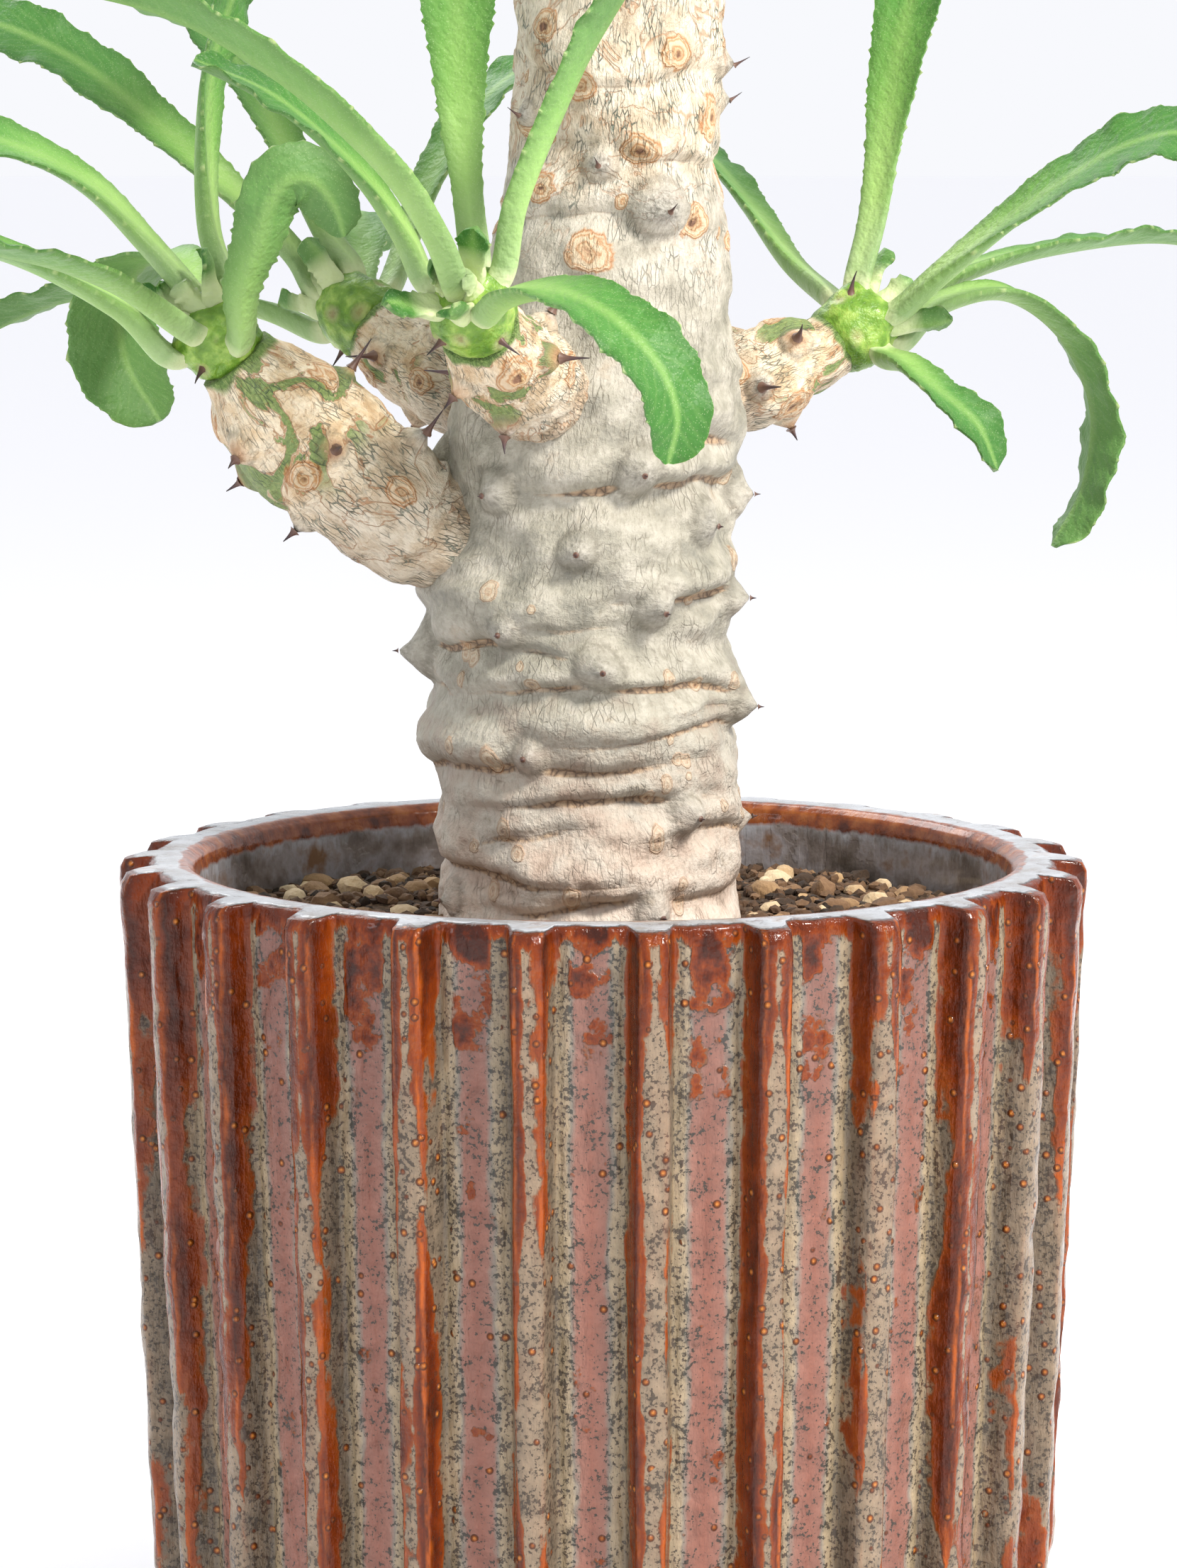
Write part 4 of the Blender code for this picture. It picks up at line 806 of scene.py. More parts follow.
def grain_material():
    """Loose grains of the mix: dark bark crumbs, brown lava and pale porous pumice."""
    material, node = new_material("mix_grains", Roughness=0.85, IOR=1.45)
    kind = node("Attribute", attribute_name="grain")
    place = node("TexCoord")
    pits = node("TexNoise", place, size=0.7143, Detail=4.0)
    mixed = node("MULTIPLY_ADD", pits, 0.22, kind)
    tone = node("ValToRGB", mixed, stops=(
        (0.12, "24190F"), (0.36, "513A27"), (0.56, "785B41"), (0.80, "A98962"), (1.0, "D0BC9C")))
    normal = node("Bump", Strength=0.8, Distance=0.0004, Height=pits)
    return finished(material, Base_Color=tone, Normal=normal)


def nearest(heights, angles, radii, spots, profile):
    """Distance of each point of a tube's skin to the nearest spot, as a share of that spot's size,
    and how far the spots raise it. A spot is (height or length, angle, half width, half height),
    and profile gives its form, in half heights, at a share of its size from its middle."""
    best = np.full(len(heights), 9.0)
    raised = np.full(len(heights), -9.0)
    for middle, turn, wide, tall in spots:
        # A swelling sags: it starts higher above its middle than it ends below
        reach = np.where(heights > middle, 1.2 * tall, 0.9 * tall)
        share = np.hypot(turned_from(angles, turn) * radii / wide, (heights - middle) / reach)
        raised = np.maximum(raised, tall * profile(share))
        best = np.minimum(best, share)
    return best, raised


def trunk_spots():
    """The trunk's tubercles and leaf scars, as spots."""
    tubercles = []
    for height, side, radius in TRUNK_TUBERCLES:
        wide = KNOB_SPREAD * radius
        tubercles.append((height, math.radians(side), wide, wide))
    draw = random.Random(5)
    for number in range(BACK_TUBERCLES):
        height = between(BACK_TUBERCLE_HEIGHTS, (number + 0.5) / BACK_TUBERCLES)
        side = math.radians(between(BACK_TUBERCLE_SIDES, (number * GOLDEN_SHARE) % 1.0))
        radius = BACK_TUBERCLE_RADIUS * draw.uniform(0.8, 1.2)
        tubercles.append((height, side, radius, radius))
    for number in range(UPPER_TUBERCLES):
        height = between(UPPER_TUBERCLE_HEIGHTS, number / (UPPER_TUBERCLES - 1))
        turn = number * GOLDEN_ANGLE - 1.0
        tubercles.append((height, turn, UPPER_TUBERCLE_RADIUS, UPPER_TUBERCLE_RADIUS))
    scars = []
    draw = random.Random(8)
    for number in range(TRUNK_SCARS):
        share = (number + 0.5) / TRUNK_SCARS
        height = between(TRUNK_SCAR_HEIGHTS, share) + draw.uniform(-0.001, 0.001)
        size = draw.uniform(*TRUNK_SCAR_SIZES) * (1.0 - 0.2 * share)
        turn = number * GOLDEN_ANGLE + draw.uniform(-0.2, 0.2)
        scars.append((height, turn, size, size * draw.uniform(0.75, 0.95)))
    for number in range(CREASE_SCARS):
        crease, _, side = CREASES[number % len(CREASES)]
        turn = math.radians(side) + draw.uniform(-2.2, 2.2)
        size = draw.uniform(*CREASE_SCAR_SIZES)
        height = crease + draw.uniform(-0.003, 0.003)
        scars.append((height, turn, size, size * draw.uniform(0.8, 1.6)))
    return tubercles, scars


def knob_height(share):
    """Form of a tubercle: a round swelling like half a ball with a small cone on it."""
    ball = 0.52 * (1.0 - np.clip(share / 1.12, 0.0, 1.0) ** 2) ** 0.85
    return ball + 0.08 * np.exp(-(share / 1.3) ** 4) + 0.50 * np.exp(-(share / 0.36) ** 1.3)


def pad_height(share):
    """Form of a leaf scar: a flat pad with a raised rim and a pit."""
    pad = 0.32 * np.exp(-(share / 0.85) ** 4) + 0.11 * bell(share - 0.94, 0.2)
    return pad - 0.14 * bell(share, 0.3)


def trunk_folds():
    """Folds of the trunk's skin: height, depth, side, the half turn covered and the slope."""
    draw = random.Random(13)
    folds = []
    for height, depth, side in CREASES:
        folds.append((height, depth, math.radians(side), draw.uniform(0.8, 1.7),
                      draw.uniform(-0.0014, 0.0014)))
    for number in range(MINOR_FOLDS):
        height = between(FOLD_HEIGHTS, (number + draw.random()) / MINOR_FOLDS)
        folds.append((height, draw.uniform(*FOLD_DEPTH), draw.uniform(-math.pi, math.pi),
                      draw.uniform(*FOLD_REACH), draw.uniform(-0.0022, 0.0022)))
    return folds


def trunk_shape(u, v):
    """Points and values of the trunk's skin."""
    table = np.array(TRUNK_PROFILE)
    fine = np.arange(table[0, 0], table[-1, 0] + 0.0005, 0.0005)
    middle, radius = (
        smoothed(np.interp(fine, table[:, 0], table[:, column]), 13) for column in (1, 2))
    heights = between((TRUNK_START, TRUNK_END), v)
    angles = math.tau * u
    none = np.zeros(len(u))
    around = np.column_stack([np.sin(angles), -np.cos(angles), none])
    upright = np.column_stack([none, none, heights])
    base = around * TRUNK_NOISE_RADIUS + upright
    jitter = rough(base, 0.011, 2, 1.0)
    free = smooth_step(heights, *SOIL_EDGE)
    r = np.interp(heights, fine, radius)
    shift = np.interp(heights, fine, middle)
    creased = none
    tubercles, scars = trunk_spots()
    nub, raised = nearest(heights, angles, r, tubercles, knob_height)
    # The skin is smooth on the swellings, so no fold runs over them
    slack = free * (1.0 - np.exp(-(nub / 1.25) ** 4))
    for number, (height, depth, side, reach, slope) in enumerate(trunk_folds()):
        turn = turned_from(angles, side)
        wander = slope * turn + 0.0011 * np.sin(2 * angles + 1.7 * number) + 0.0014 * jitter
        away = heights - height + wander
        facing = np.exp(-np.abs(turn / reach) ** 3) * slack
        # The fold above a crease hangs over it, and the one below rises slowly
        width = np.where(away > 0.0, 0.60 * CREASE_WIDTH, 2.6 * CREASE_WIDTH)
        width = width * (0.7 + 0.3 * depth / 0.002)
        r += depth * facing * (0.45 * bell(away - 0.0029, 0.0023) - bell(away, width))
        narrow = bell(away + 0.0002, 0.45 * CREASE_WIDTH)
        creased = np.maximum(creased, facing * narrow * depth / 0.0018)
    r += free * (0.0005 * np.sin(3 * angles + heights * 210.0) + 0.0012 * jitter)
    swollen = rough(base * (1.0, 1.0, 1.4), 0.0085, 2, 5.0)
    r += free * 0.0011 * swollen * (1.0 - smooth_step(heights, 0.200, 0.225))
    r += 0.00013 * rough(base * (1.0, 1.0, 2.2), 0.0028, 3, 2.0)
    r += raised
    # No leaf scar lies on a swelling
    scar, raised = nearest(heights, angles, r, scars, pad_height)
    clear = smooth_step(nub, 0.8, 1.2)
    r += raised * clear
    scar = scar + 1.5 * (1.0 - clear)
    wave = CREASE_WAVE * np.sin(angles + heights * CREASE_WAVE_RATE)
    wave *= free * (1.0 - smooth_step(heights, 0.255, 0.285))
    places = around * r[:, None] + np.column_stack([shift, none, heights + wave])
    young = smooth_step(heights + 0.008 * jitter, *YOUNG_SKIN) * 0.78
    return places, {
        "young": young, "scar": scar, "nub": nub, "crease": np.clip(creased, 0.0, 1.0) * free,
        "bark_place": around * TRUNK_PATTERN_RADIUS + upright}


def branch_line(name):
    """Middle points, frames and radii along a branch, up to its growing tip's underside."""
    points = [np.array(point) * MM for point, _ in BRANCHES[name]]
    radii = [radius * MM for _, radius in BRANCHES[name]]
    tip = points[-1]
    axis = tip - points[-2]
    axis /= np.linalg.norm(axis)
    points[-1] = tip - axis * TIP_SETBACK * TIP_RADIUS
    path, length = smooth_path(points, BRANCH_ROWS + 1)
    shares = np.linspace(0.0, 1.0, BRANCH_ROWS + 1)
    radius = smoothed(np.interp(shares, np.linspace(0.0, 1.0, len(radii)), radii), 15)
    return path, frames_along(path, (0.0, 0.0, 1.0)), radius, length, axis, tip


def branch_knobs(name):
    """Share of the branch's length and angle round it of each tubercle, as the CAD has them."""
    count = BRANCH_TUBERCLES[name]
    knobs = []
    for number in range(count):
        row = int(between(BRANCH_TUBERCLE_REACH, (number + 0.5) / count) * CAD_BRANCH_ROWS)
        corner = int(number * GOLDEN_ANGLE / math.tau * CAD_BRANCH_SIDES) % CAD_BRANCH_SIDES
        knobs.append((row / CAD_BRANCH_ROWS, corner * math.tau / CAD_BRANCH_SIDES))
    return knobs


def branch_shape(name, seed):
    """A function that gives the points and values of one branch's skin."""
    path, (_, sides, ups), radius, length, _, _ = branch_line(name)
    draw = random.Random(seed)
    count = BRANCH_SCARS[name]
    scars = []
    for number in range(count):
        share = between(BRANCH_SCAR_REACH, (number + 0.5) / count)
        size = draw.uniform(*BRANCH_SCAR_SIZES)
        turn = number * GOLDEN_ANGLE + 0.6 + draw.uniform(-0.2, 0.2)
        scars.append((share * length, turn, size, size * draw.uniform(0.8, 1.0)))
    knobs = [(share * length, turn, BRANCH_KNOB, BRANCH_KNOB) for share, turn in branch_knobs(name)]

    def shape(u, v):
        rows = np.rint(v * BRANCH_ROWS).astype(int)
        angles = math.tau * u
        along = v * length
        across, upward = np.cos(angles), np.sin(angles)
        spoke = sides[rows] * across[:, None] + ups[rows] * upward[:, None]
        straight = np.column_stack(
            [BRANCH_PATTERN_RADIUS * across, BRANCH_PATTERN_RADIUS * upward, along])
        # Each branch has its own stretch of the patterns
        straight += np.array([0.1 * seed, 0.0, 0.3])
        lumps = rough(straight, 0.007, 2, seed)
        small = rough(straight, 0.0022, 3, seed + 0.5)
        free = 1.0 - smooth_step(v, 0.93, 1.0)
        r = radius[rows] * (0.95 + 0.07 * lumps * free) + 0.00022 * small
        rings = np.sin(along * 1250.0 + 2.0 * lumps)
        r += free * 0.00022 * rings * (1.0 - smooth_step(v, 0.35, 0.75))
        scar, raised = nearest(along, angles, radius[rows], scars, pad_height)
        r += free * raised
        nub, raised = nearest(along, angles, radius[rows], knobs, knob_height)
        r += raised
        places = path[rows] + spoke * r[:, None]
        young = 0.80 + 0.20 * smooth_step(v + 0.05 * lumps, 0.42, 0.70)
        young += 1.0 * smooth_step(v + 0.03 * lumps, 0.93, 1.0)
        crease = 0.45 * (1.0 - smooth_step(along, 0.012, 0.020))
        return places, {
            "young": young, "scar": scar, "nub": nub, "crease": crease, "bark_place": straight}

    return shape


def gather(parts):
    """Put several bmeshes together as one."""
    whole = bmesh.new()
    for part in parts:
        mesh = bpy.data.meshes.new("part")
        part.to_mesh(mesh)
        part.free()
        whole.from_mesh(mesh)
        bpy.data.meshes.remove(mesh)
    return whole


def one_spine(foot, outward, length, radius, bend):
    """One tapering spine, flared at its foot, curved a little and sunk in what it grows from."""
    outward = Vector(outward).normalized()
    turn = np.array(outward.to_track_quat("Z", "Y").to_matrix())

    def shape(u, v):
        along = v ** 1.3
        thick = radius * (1.0 - 0.86 * along ** 0.8) + 0.9 * radius * np.exp(-7.0 * along)
        x = thick * np.cos(math.tau * u) + bend * length * along * along
        y = thick * np.sin(math.tau * u)
        local = np.column_stack([x, y, (1.12 * along - 0.12) * length])
        return np.array(foot) + local @ turn.T, {"along": along}

    return bent_grid(SPINE_SIDES, SPINE_ROWS, shape)


def make_stem(bark, spine):
    """Trunk and branches with their skin, and the spines on their tubercles."""
    trunk = add_piece("trunk", bent_grid(TRUNK_COLUMNS, TRUNK_ROWS, trunk_shape), bark)
    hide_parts("stem")
    for seed, name in enumerate(BRANCHES, start=1):
        bm = bent_grid(BRANCH_COLUMNS, BRANCH_ROWS, branch_shape(name, seed))
        add_piece("branch_" + name, bm, bark)
    draw = random.Random(3)
    spines = []
    tubercles, _ = trunk_spots()
    heights = np.array([spot[0] for spot in tubercles])
    angles = np.array([spot[1] % math.tau for spot in tubercles])
    v = (heights - TRUNK_START) / (TRUNK_END - TRUNK_START)
    places, _ = trunk_shape(angles / math.tau, v)
    for place, angle in zip(places, angles):
        fresh = place[2] > OLD_TRUNK_TOP
        outward = (math.sin(angle), -math.cos(angle), 0.55 if fresh else 0.0)
        length = TRUNK_SPINE * (1.0 if fresh else WORN_SPINE_SHARE)
        bend = draw.uniform(-0.2, 0.2)
        spines.append(one_spine(place, outward, length, TRUNK_SPINE_RADIUS, bend))
    for seed, name in enumerate(BRANCHES, start=1):
        path, _, _, _, axis, _ = branch_line(name)
        knobs = branch_knobs(name)
        rows = [round(share * BRANCH_ROWS) for share, _ in knobs]
        u = np.array([turn for _, turn in knobs]) / math.tau
        places, _ = branch_shape(name, seed)(u, np.array(rows) / BRANCH_ROWS)
        for place, row in zip(places, rows):
            outward = (place - path[row]) / np.linalg.norm(place - path[row]) + 0.12 * axis
            length = BRANCH_SPINE * draw.uniform(0.85, 1.1) * (1.0 if outward[2] > -0.3 else 0.5)
            bend = draw.uniform(-0.25, 0.25)
            spines.append(one_spine(place, outward, length, SPINE_RADIUS, bend))
    add_piece("spines", gather(spines), spine, SPINE_SMOOTH)


def leaf_starts(name):
    """Directions in which the leaves leave a branch's growing tip."""
    middle = np.array(BRANCHES[name][-1][0])
    starts = [np.array(points[0]) - middle for _, _, points in LEAVES[name]]
    return [start / np.linalg.norm(start) for start in starts]


def heading(azimuth, rise):
    """The unit vector at an azimuth in radians from the front and a rise in degrees."""
    flat = math.cos(math.radians(rise))
    up = math.sin(math.radians(rise))
    return np.array([flat * math.sin(azimuth), -flat * math.cos(azimuth), up])


def top_leaf(number):
    """Azimuth, rise and length of one leaf of the top rosette."""
    share = number / (TOP_LEAVES - 1)
    azimuth = number * GOLDEN_ANGLE + 0.4
    return azimuth, between(TOP_LEAF_RISE, share), between(TOP_LEAF_LENGTH, share)


def make_tip(name, middle, axis, radius, starts, material, spine):
    """A growing tip: a green knob that swells under each leaf, with scars and young spines."""
    turn = np.array(Vector(axis).to_track_quat("Z", "Y").to_matrix())
    draw = random.Random(len(name))
    spots = []
    for number in range(TIP_SCARS):
        low = -0.55 + 0.9 * number / (TIP_SCARS - 1)
        flat = math.sqrt(1.0 - low * low)
        angle = number * GOLDEN_ANGLE + draw.random()
        spots.append(turn @ (flat * math.cos(angle), flat * math.sin(angle), low))

    def shape(u, v):
        tall = -math.pi / 2 + math.pi * v
        flat = np.cos(tall)
        angles = math.tau * u
        local = np.column_stack([flat * np.cos(angles), flat * np.sin(angles), np.sin(tall)])
        ways = local @ turn.T
        swell = np.zeros(len(u))
        for start in starts:
            away = np.arccos(np.clip(ways @ start, -1.0, 1.0))
            swell = np.maximum(swell, bell(away, 0.42))
        scar = np.full(len(u), 9.0)
        for spot in spots:
            scar = np.minimum(scar, np.arccos(np.clip(ways @ spot, -1.0, 1.0)) / 0.30)
        lumps = rough(middle + ways * radius, 0.0035, 3, 4.0)
        r = radius * (0.93 + 0.16 * swell + 0.07 * lumps)
        r += 0.0003 * bell(scar - 0.9, 0.3)
        # The lower half drops straight into the branch, as a collar
        below = np.clip(-local[:, 2], 0.0, 1.0)
        wide = 1.0 + 0.55 * below ** 2 * (1.0 - smooth_step(below, 0.86, 1.0))
        local *= r[:, None]
        local[:, :2] *= np.clip(wide, 1.0, 1.35)[:, None]
        return middle + local @ turn.T, {"scar": scar + 2.0 * swell}

    bm = bent_grid(TIP_COLUMNS, TIP_ROWS, shape)
    tip = add_piece("growing_tip_" + name, bm, material)
    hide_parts("tip_" + name)
    spines = []
    for spot in spots[2::2]:
        foot = middle + spot * radius * 0.95
        length = TIP_SPINE * draw.uniform(0.8, 1.2)
        spines.append(one_spine(foot, spot + 0.25 * axis, length, SPINE_RADIUS, 0.2))
    add_piece("tip_spines_" + name, gather(spines), spine, SPINE_SMOOTH)


def teeth(distance, seed):
    """Forward-pointing teeth, unevenly spaced, for one edge of a leaf: 0 to 1 at each distance."""
    turn = distance / TOOTH_PITCH + 0.45 * np.sin(distance * 610.0 + seed) + 0.37 * seed
    part = turn % 1.0
    tooth = np.where(part < 0.72, part / 0.72, (1.0 - part) / 0.28)
    uneven = 0.65 + 0.35 * np.sin(np.floor(turn) * 2.4 + seed)
    return tooth ** 1.5 * uneven


def leaf_mesh(points, width, face, seed, tone):
    """One fleshy leaf: a flat slab bent along its path, with a channel, waves and teeth."""
    _, length = smooth_path(points, 2)
    rows = max(24, int(length / LEAF_ROW))
    path, length = smooth_path(points, rows + 1)
    _, sides, ups = frames_along(path, face)
    bm = bmesh.new()
    bm.loops.layers.uv.new("UVMap")
    bmesh.ops.create_grid(bm, x_segments=LEAF_COLUMNS, y_segments=rows, size=1.0, calc_uvs=True)
    made = bmesh.ops.extrude_face_region(bm, geom=bm.faces[:], use_keep_orig=True)
    below = [item for item in made["geom"] if isinstance(item, bmesh.types.BMVert)]
    bmesh.ops.translate(bm, verts=below, vec=(0.0, 0.0, -1.0))
    bmesh.ops.recalc_face_normals(bm, faces=bm.faces)
    layers = [bm.verts.layers.float_vector.new("blade"), bm.verts.layers.float.new("edge"),
              bm.verts.layers.float.new("under"), bm.verts.layers.float.new("tone")]
    flat = np.array([vert.co[:] for vert in bm.verts])
    x = np.sin(math.pi / 2 * flat[:, 0])
    row = np.rint((flat[:, 1] + 1.0) / 2.0 * rows).astype(int)
    top = flat[:, 2] > -0.5
    share = row / rows
    distance = share * length
    half = STALK_HALF_WIDTH + (width / 2 - STALK_HALF_WIDTH) * smooth_step(share, 0.12, 0.72)
    over = np.clip((share - 0.80) / 0.20, 0.0, 1.0)
    half = half * np.sqrt(np.clip(1.0 - over ** 2.4, 0.02, 1.0))
    half = np.minimum(half, width / 2) * (1.0 + 0.025 * np.sin(distance * 330.0 + seed))
    toothed = smooth_step(share, 0.06, 0.36) * TOOTH_LENGTH
    tooth = np.where(x > 0.0, teeth(distance, seed), teeth(distance, seed + 2.3)) * toothed
    thin = smooth_step(share, 0.05, 0.55)
    outer = np.abs(x) ** 6
    lateral = x * half + np.sign(x) * outer * (tooth - 0.3 * toothed)
    round_half = STALK_THICKNESS / 2 * np.sqrt(np.clip(1.0 - 0.96 * x * x, 0.0, 1.0))
    rib = bell(x * half, MIDRIB_WIDTH)
    flat_half = BLADE_THICKNESS / 2 + (RIB_THICKNESS - BLADE_THICKNESS) / 2 * rib
    flat_half = flat_half + (EDGE_THICKNESS - BLADE_THICKNESS) / 2 * np.abs(x) ** 8
    thick = (round_half + (flat_half - round_half) * thin) * (1.0 - 0.45 * over)
    channel = BLADE_CHANNEL * np.minimum(1.0, half / 0.004) * np.abs(x) ** 1.4
    sided = np.sign(x) * 1.9
    wavy = sum(tall * np.sin(distance * rate + times * seed + sided)
               for times, (tall, rate) in enumerate(LEAF_WAVES, start=1))
    wavy = wavy * smooth_step(share, 0.35, 0.75) * np.abs(x) ** 1.5
    lift = channel + wavy + np.where(top, thick, -thick) - 0.3 * thick
    places = path[row] + sides[row] * lateral[:, None] + ups[row] * lift[:, None]
    inward = half * (1.0 - np.abs(x)) - outer * tooth
    for i, vert in enumerate(bm.verts):
        vert.co = places[i]
        vert[layers[0]] = Vector((lateral[i], distance[i], share[i]))
        vert[layers[1]] = inward[i]
        vert[layers[2]] = 0.0 if top[i] else 1.0
        vert[layers[3]] = tone
    return bm


def top_leaf_points(middle, number):
    """Points of one leaf of the top rosette, which bends down as it goes."""
    azimuth, rise, length = top_leaf(number)
    step = length / TOP_LEAF_STEPS
    points = [middle + step * heading(azimuth, rise)]
    place = middle
    for k in range(TOP_LEAF_STEPS):
        bent = TOP_LEAF_BEND * ((k + 0.5) / TOP_LEAF_STEPS) ** 1.6
        place = place + step * heading(azimuth, rise - bent)
        points.append(place)
    return points


def full_points(middle, radius, points):
    """A leaf's path from inside the growing tip outwards."""
    outward = points[0] - middle
    outward = outward / np.linalg.norm(outward)
    root = middle + outward * (radius - LEAF_SINK)
    launch = middle + outward * (radius + 0.0012)
    return [root, launch, *points[1:]]


def make_leaves(material):
    """Every leaf of the four branches and of the top rosette, each in place of its CAD solid."""
    draw = random.Random(21)
    for name, rows in LEAVES.items():
        middle = np.array(BRANCHES[name][-1][0]) * MM
        for number, (width, face, points) in enumerate(rows, start=1):
            path = full_points(middle, TIP_RADIUS, np.array(points) * MM)
            seed, tone = draw.uniform(0.0, 6.0), draw.uniform(0.92, 1.06)
            bm = leaf_mesh(path, width * MM, face, seed, tone)
            leaf = add_piece(f"blade_{name}_{number}", bm, material, LEAF_SMOOTH)
            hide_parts(f"leaf_{name}_{number}")
    for number in range(TOP_LEAVES):
        azimuth, rise, _ = top_leaf(number)
        face = UP - 0.2 * heading(azimuth, rise)
        path = full_points(TRUNK_TIP, TOP_TIP_RADIUS, top_leaf_points(TRUNK_TIP, number))
        seed, tone = draw.uniform(0.0, 6.0), draw.uniform(0.94, 1.04)
        bm = leaf_mesh(path, TOP_LEAF_WIDTH, face, seed, tone)
        leaf = add_piece(f"blade_top_{number + 1}", bm, material, LEAF_SMOOTH)
        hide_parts(f"leaf_top_{number + 1}")


def make_young_leaves(name, middle, axis, radius, material):
    """Small leaves that are still opening at the middle of a growing tip."""
    draw = random.Random(40 + len(name))
    turn = np.array(Vector(axis).to_track_quat("Z", "Y").to_matrix())
    for number in range(YOUNG_LEAVES):
        angle = number * GOLDEN_ANGLE + draw.random()
        lean = 0.25 + 0.12 * number
        flat = math.sin(lean)
        way = turn @ (flat * math.cos(angle), flat * math.sin(angle), math.cos(lean))
        length = YOUNG_LEAF_LENGTH + YOUNG_LEAF_GROWTH * number
        points = [middle + way * (radius * 0.8 + length * k / 3) for k in range(4)]
        points[3] = points[3] + axis * 0.0006
        face = axis - 0.7 * way
        bm = leaf_mesh(points, YOUNG_LEAF_WIDTH, face, draw.uniform(0.0, 6.0), 1.0)
        add_piece(f"young_leaf_{name}_{number + 1}", bm, material, LEAF_SMOOTH)


def make_crown(tip, leaf, spine):
    """The five growing tips with their young leaves."""
    for name in BRANCHES:
        _, _, _, _, axis, middle = branch_line(name)
        make_tip(name, middle, axis, TIP_RADIUS, leaf_starts(name), tip, spine)
        make_young_leaves(name, middle, axis, TIP_RADIUS, leaf)
    starts = [heading(*top_leaf(number)[:2]) for number in range(TOP_LEAVES)]
    make_tip("top", TRUNK_TIP, UP, TOP_TIP_RADIUS, starts, tip, spine)
    make_young_leaves("top", TRUNK_TIP, UP, TOP_TIP_RADIUS, leaf)


def pot_shape(u, v):
    """Points and values of the ribbed pot wall, a closed loop in section."""
    stations = np.concatenate([[0.0], np.cumsum([row[3] for row in POT_OUTLINE])])
    stations = stations / stations[-1]
    outline = np.array([row[:3] for row in (*POT_OUTLINE, POT_OUTLINE[0])])
    radius = np.interp(v, stations, outline[:, 0])
    height = np.interp(v, stations, outline[:, 1])
    depth = np.interp(v, stations, outline[:, 2])
    # Columns crowd together on the flanks of the ribs
    number = np.floor(u * RIB_COUNT)
    part = 2.0 * (u * RIB_COUNT - number) - 1.0
    arc = np.interp(np.abs(part), RIB_STEPS, RIB_ARCS)
    pitch = math.tau / RIB_COUNT
    turn = np.sign(part) * arc / RIB_ARCS[-1] * pitch / 2
    angles = RIB_FIRST_TURN + number * pitch + turn
    middle = np.column_stack([radius * np.sin(angles), -radius * np.cos(angles), height])
    uneven = rough(middle * (1.0, 1.0, 0.35), 0.011, 2, 6.0)
    flank = smooth_step(arc + 0.0004 * uneven, RIB_FACE, RIB_ROOT)
    crown = -RIB_BULGE * np.clip(arc / RIB_FACE, 0.0, 1.0) ** 2
    hollow = 0.0004 * smooth_step(arc, RIB_ROOT, RIB_ROOT + 0.0016)
    radius = radius + depth * (crown - RIB_DEPTH * flank + hollow)
    outside = (depth > 0.0).astype(float)
    lumps = rough(middle * (1.0, 1.0, 0.6), 0.0042, 3, 7.0)
    radius = radius + GLAZE_LUMP * (lumps - 0.5) * outside
    top = smooth_step(height, *RIM_RISE)
    height = height - 0.0004 * top * (1.0 - flank) * depth
    places = np.column_stack([radius * np.sin(angles), -radius * np.cos(angles), height])
    rim = smooth_step(v, stations[RIM_START], stations[RIM_START + 1])
    rim = rim * (1.0 - smooth_step(v, stations[RIM_START + 5], stations[RIM_START + 7]))
    lip = smooth_step(v, stations[RIM_START + 3], stations[RIM_START + 4])
    lip = lip * smooth_step(height, *LIP_RISE)
    return places, {"rib_side": arc / MM, "ribbed": smooth_step(depth, 0.0, 0.25), "rim": rim,
                    "lip": lip}


def cylinder(radius, depth, place, sides):
    """An upright closed cylinder round its middle."""
    bm = bmesh.new()
    bmesh.ops.create_cone(
        bm, cap_ends=True, segments=sides, radius1=radius, radius2=radius, depth=depth)
    bmesh.ops.translate(bm, verts=bm.verts, vec=place)
    return bm


def make_pot(glaze):
    """The pot: its ribbed wall, and the base with its drain holes."""
    rows = sum(row[3] for row in POT_OUTLINE)
    bm = bent_grid(RIB_COUNT * RIB_COLUMNS, rows, pot_shape, closed_along=True)
    wall = add_piece("pot_wall", bm, glaze)
    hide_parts("pot")
    bm = cylinder(BASE_RADIUS, POT_FLOOR - 0.0008, (0.0, 0.0, POT_FLOOR / 2 + 0.0001), 96)
    base = add_piece("pot_base", bm, glaze, BASE_SMOOTH)
    for number in range(DRAIN_COUNT):
        angle = DRAIN_FIRST_TURN + number * math.tau / DRAIN_COUNT
        place = Vector((math.cos(angle), math.sin(angle), 0.0)) * DRAIN_CIRCLE_RADIUS
        cutter = new_object("drain_cutter", cylinder(DRAIN_RADIUS, 3 * POT_FLOOR, place, 32))
        cut = base.modifiers.new("drain", "BOOLEAN")
        cut.operation = "DIFFERENCE"
        cut.object = cutter
        graph = bpy.context.evaluated_depsgraph_get()
        made = bpy.data.meshes.new_from_object(base.evaluated_get(graph), depsgraph=graph)
        base.modifiers.clear()
        base.data = made
        bpy.data.objects.remove(cutter, do_unlink=True)


def soil_height(x, y):
    """Height of the soil's surface: gentle lumps, a little higher round the trunk."""
    lump = noise.fractal(Vector((x, y, 0.3)) / 0.012, 1.0, 2.0, 3)
    small = noise.fractal(Vector((x, y, 1.3)) / 0.0035, 1.0, 2.0, 2)
    away = math.hypot(x, y)
    edge = max(0.0, min(1.0, (away - 0.056) / 0.006))
    return SOIL_TOP - 0.0006 + 0.0008 * lump + 0.0004 * small - 0.0008 * edge * edge


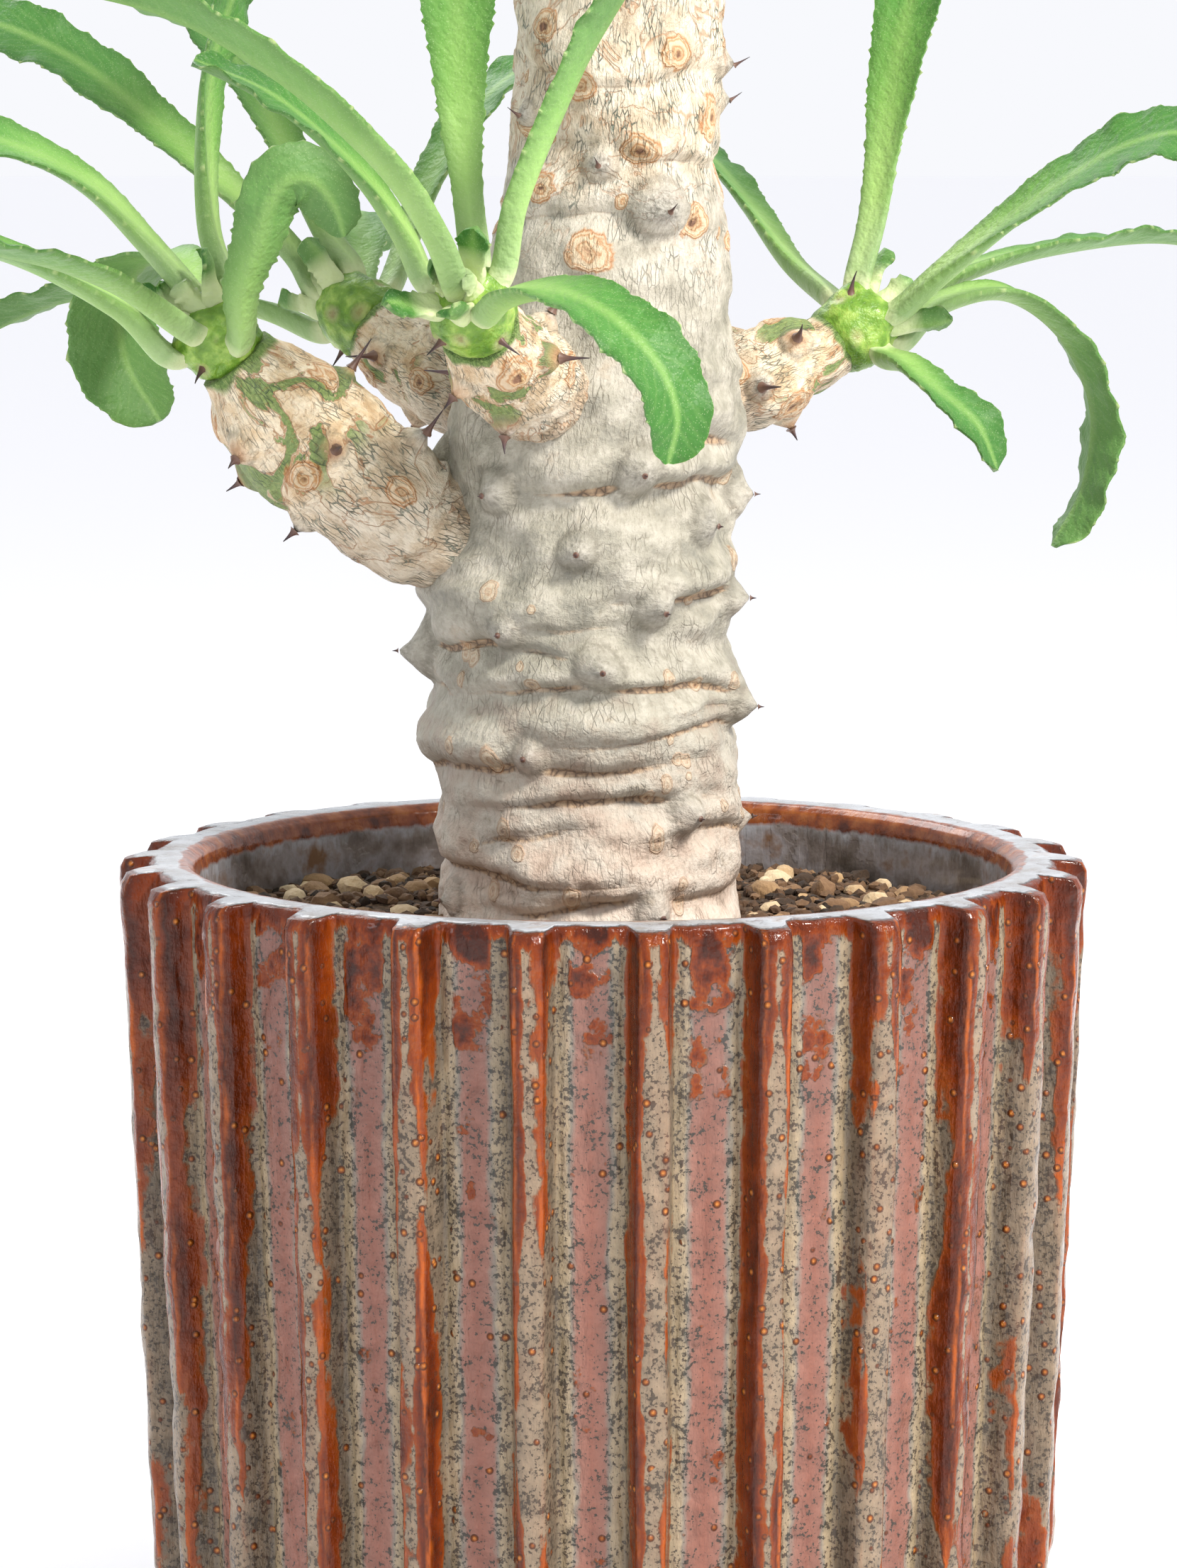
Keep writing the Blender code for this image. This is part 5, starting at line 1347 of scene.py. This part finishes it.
def soil_shape(u, v):
    """Points of the soil: its surface from the trunk out, and its side and underside."""
    outline = np.array([
        (0.00, SOIL_INNER_RADIUS, SOIL_TOP - 0.004), (0.04, 0.0180, SOIL_TOP),
        (0.88, SOIL_RADIUS, SOIL_TOP), (0.94, SOIL_RADIUS - 0.0003, SOIL_UNDERSIDE),
        (1.00, SOIL_INNER_RADIUS, SOIL_UNDERSIDE)])
    radius = np.interp(v, outline[:, 0], outline[:, 1])
    height = np.interp(v, outline[:, 0], outline[:, 2])
    x = radius * np.sin(math.tau * u)
    y = -radius * np.cos(math.tau * u)
    surface = np.array([soil_height(a, b) for a, b in zip(x, y)])
    height = np.where(height >= SOIL_TOP - 1e-6, surface, height)
    return np.column_stack([x, y, height]), {}


def make_grains(name, count, sizes, shades, rise, seed, rounds, material):
    """Grains lying on the soil, each a ball of 20 or 80 faces knocked out of shape."""
    draw = random.Random(seed)
    bm = bmesh.new()
    layer = bm.verts.layers.float.new("grain")
    squares = [reach ** 2 for reach in GRAIN_REACH]
    for number in range(count):
        angle = number * GOLDEN_ANGLE + draw.uniform(-0.2, 0.2)
        reach = math.sqrt(between(squares, (number + 0.5) / count))
        x = reach * math.sin(angle) + GRAIN_MIDDLE
        y = -reach * math.cos(angle)
        size = draw.uniform(*sizes)
        wide = size * draw.uniform(0.6, 0.95)
        squash = Matrix.Diagonal((size, wide, size * draw.uniform(0.5, 0.85), 1.0))
        turn = Matrix.Rotation(draw.uniform(0.0, math.tau), 4, "Z")
        tilt = Matrix.Rotation(draw.uniform(-0.6, 0.6), 4, "X")
        rest = Matrix.Translation((x, y, soil_height(x, y) + rise * size))
        made = bmesh.ops.create_icosphere(bm, subdivisions=rounds, radius=1.0,
                                          matrix=rest @ turn @ tilt @ squash)
        shade = draw.uniform(*shades)
        middle = rest.translation
        for vert in made["verts"]:
            away = vert.co - middle
            vert.co = middle + away * draw.uniform(0.82, 1.11)
            vert[layer] = shade
    add_piece(name, bm, material, GRAIN_SMOOTH)


def make_soil(earth, grain):
    """Soil surface with crumbs and grains lying on it."""
    bm = bent_grid(SOIL_COLUMNS, SOIL_ROWS, soil_shape)
    bed = add_piece("soil_bed", bm, earth)
    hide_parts("soil")
    make_grains(
        "soil_crumbs", CRUMB_COUNT, CRUMB_SIZES, CRUMB_SHADES, CRUMB_RISE, 17, 1, grain)
    make_grains(
        "soil_grains", GRAIN_COUNT, GRAIN_SIZES, GRAIN_SHADES, GRAIN_RISE, 18, 2, grain)


def make_stage():
    """Plain pale floor, soft studio light, and the camera where the photo was taken from."""
    bm = bmesh.new()
    bmesh.ops.create_grid(bm, x_segments=1, y_segments=1, size=FLOOR_HALF)
    floor = new_object("floor", bm)
    paint, _ = new_material("matt_white_paint", Roughness=0.9, Base_Color=colour("FDFDFF"))
    floor.data.materials.append(paint)
    world = bpy.data.worlds.new("studio")
    world.use_nodes = True
    sky = world.node_tree.nodes["Background"]
    sky.inputs["Color"].default_value = colour("F8F9FD")
    sky.inputs["Strength"].default_value = 1.0
    bpy.context.scene.world = world
    for name, place, size, power, shade in LAMPS:
        light = bpy.data.lights.new(name, "AREA")
        light.size = size
        light.energy = power
        light.color = colour(shade)[:3]
        lamp = bpy.data.objects.new(name, light)
        lamp.location = place
        aim = Vector(LAMP_AIM) - Vector(place)
        lamp.rotation_euler = aim.to_track_quat("-Z", "Y").to_euler()
        bpy.context.scene.collection.objects.link(lamp)
    lens = bpy.data.cameras.new("camera")
    lens.sensor_fit = "VERTICAL"
    lens.sensor_height = CAMERA_SENSOR
    lens.lens = CAMERA_FOCUS * lens.sensor_height / PHOTO_HEIGHT
    camera = bpy.data.objects.new("camera", lens)
    camera.location = CAMERA_PLACE
    camera.rotation_euler = (math.radians(90.0 - CAMERA_DROP), 0.0, 0.0)
    bpy.context.scene.collection.objects.link(camera)
    bpy.context.scene.camera = camera
    bpy.context.scene.view_settings.view_transform = "Standard"


bark = bark_material()
spine = spine_material()
tip = tip_material()
leaf = leaf_material()
make_stage()
make_pot(glaze_material())
make_soil(soil_material(), grain_material())
make_stem(bark, spine)
make_crown(tip, leaf, spine)
make_leaves(leaf)
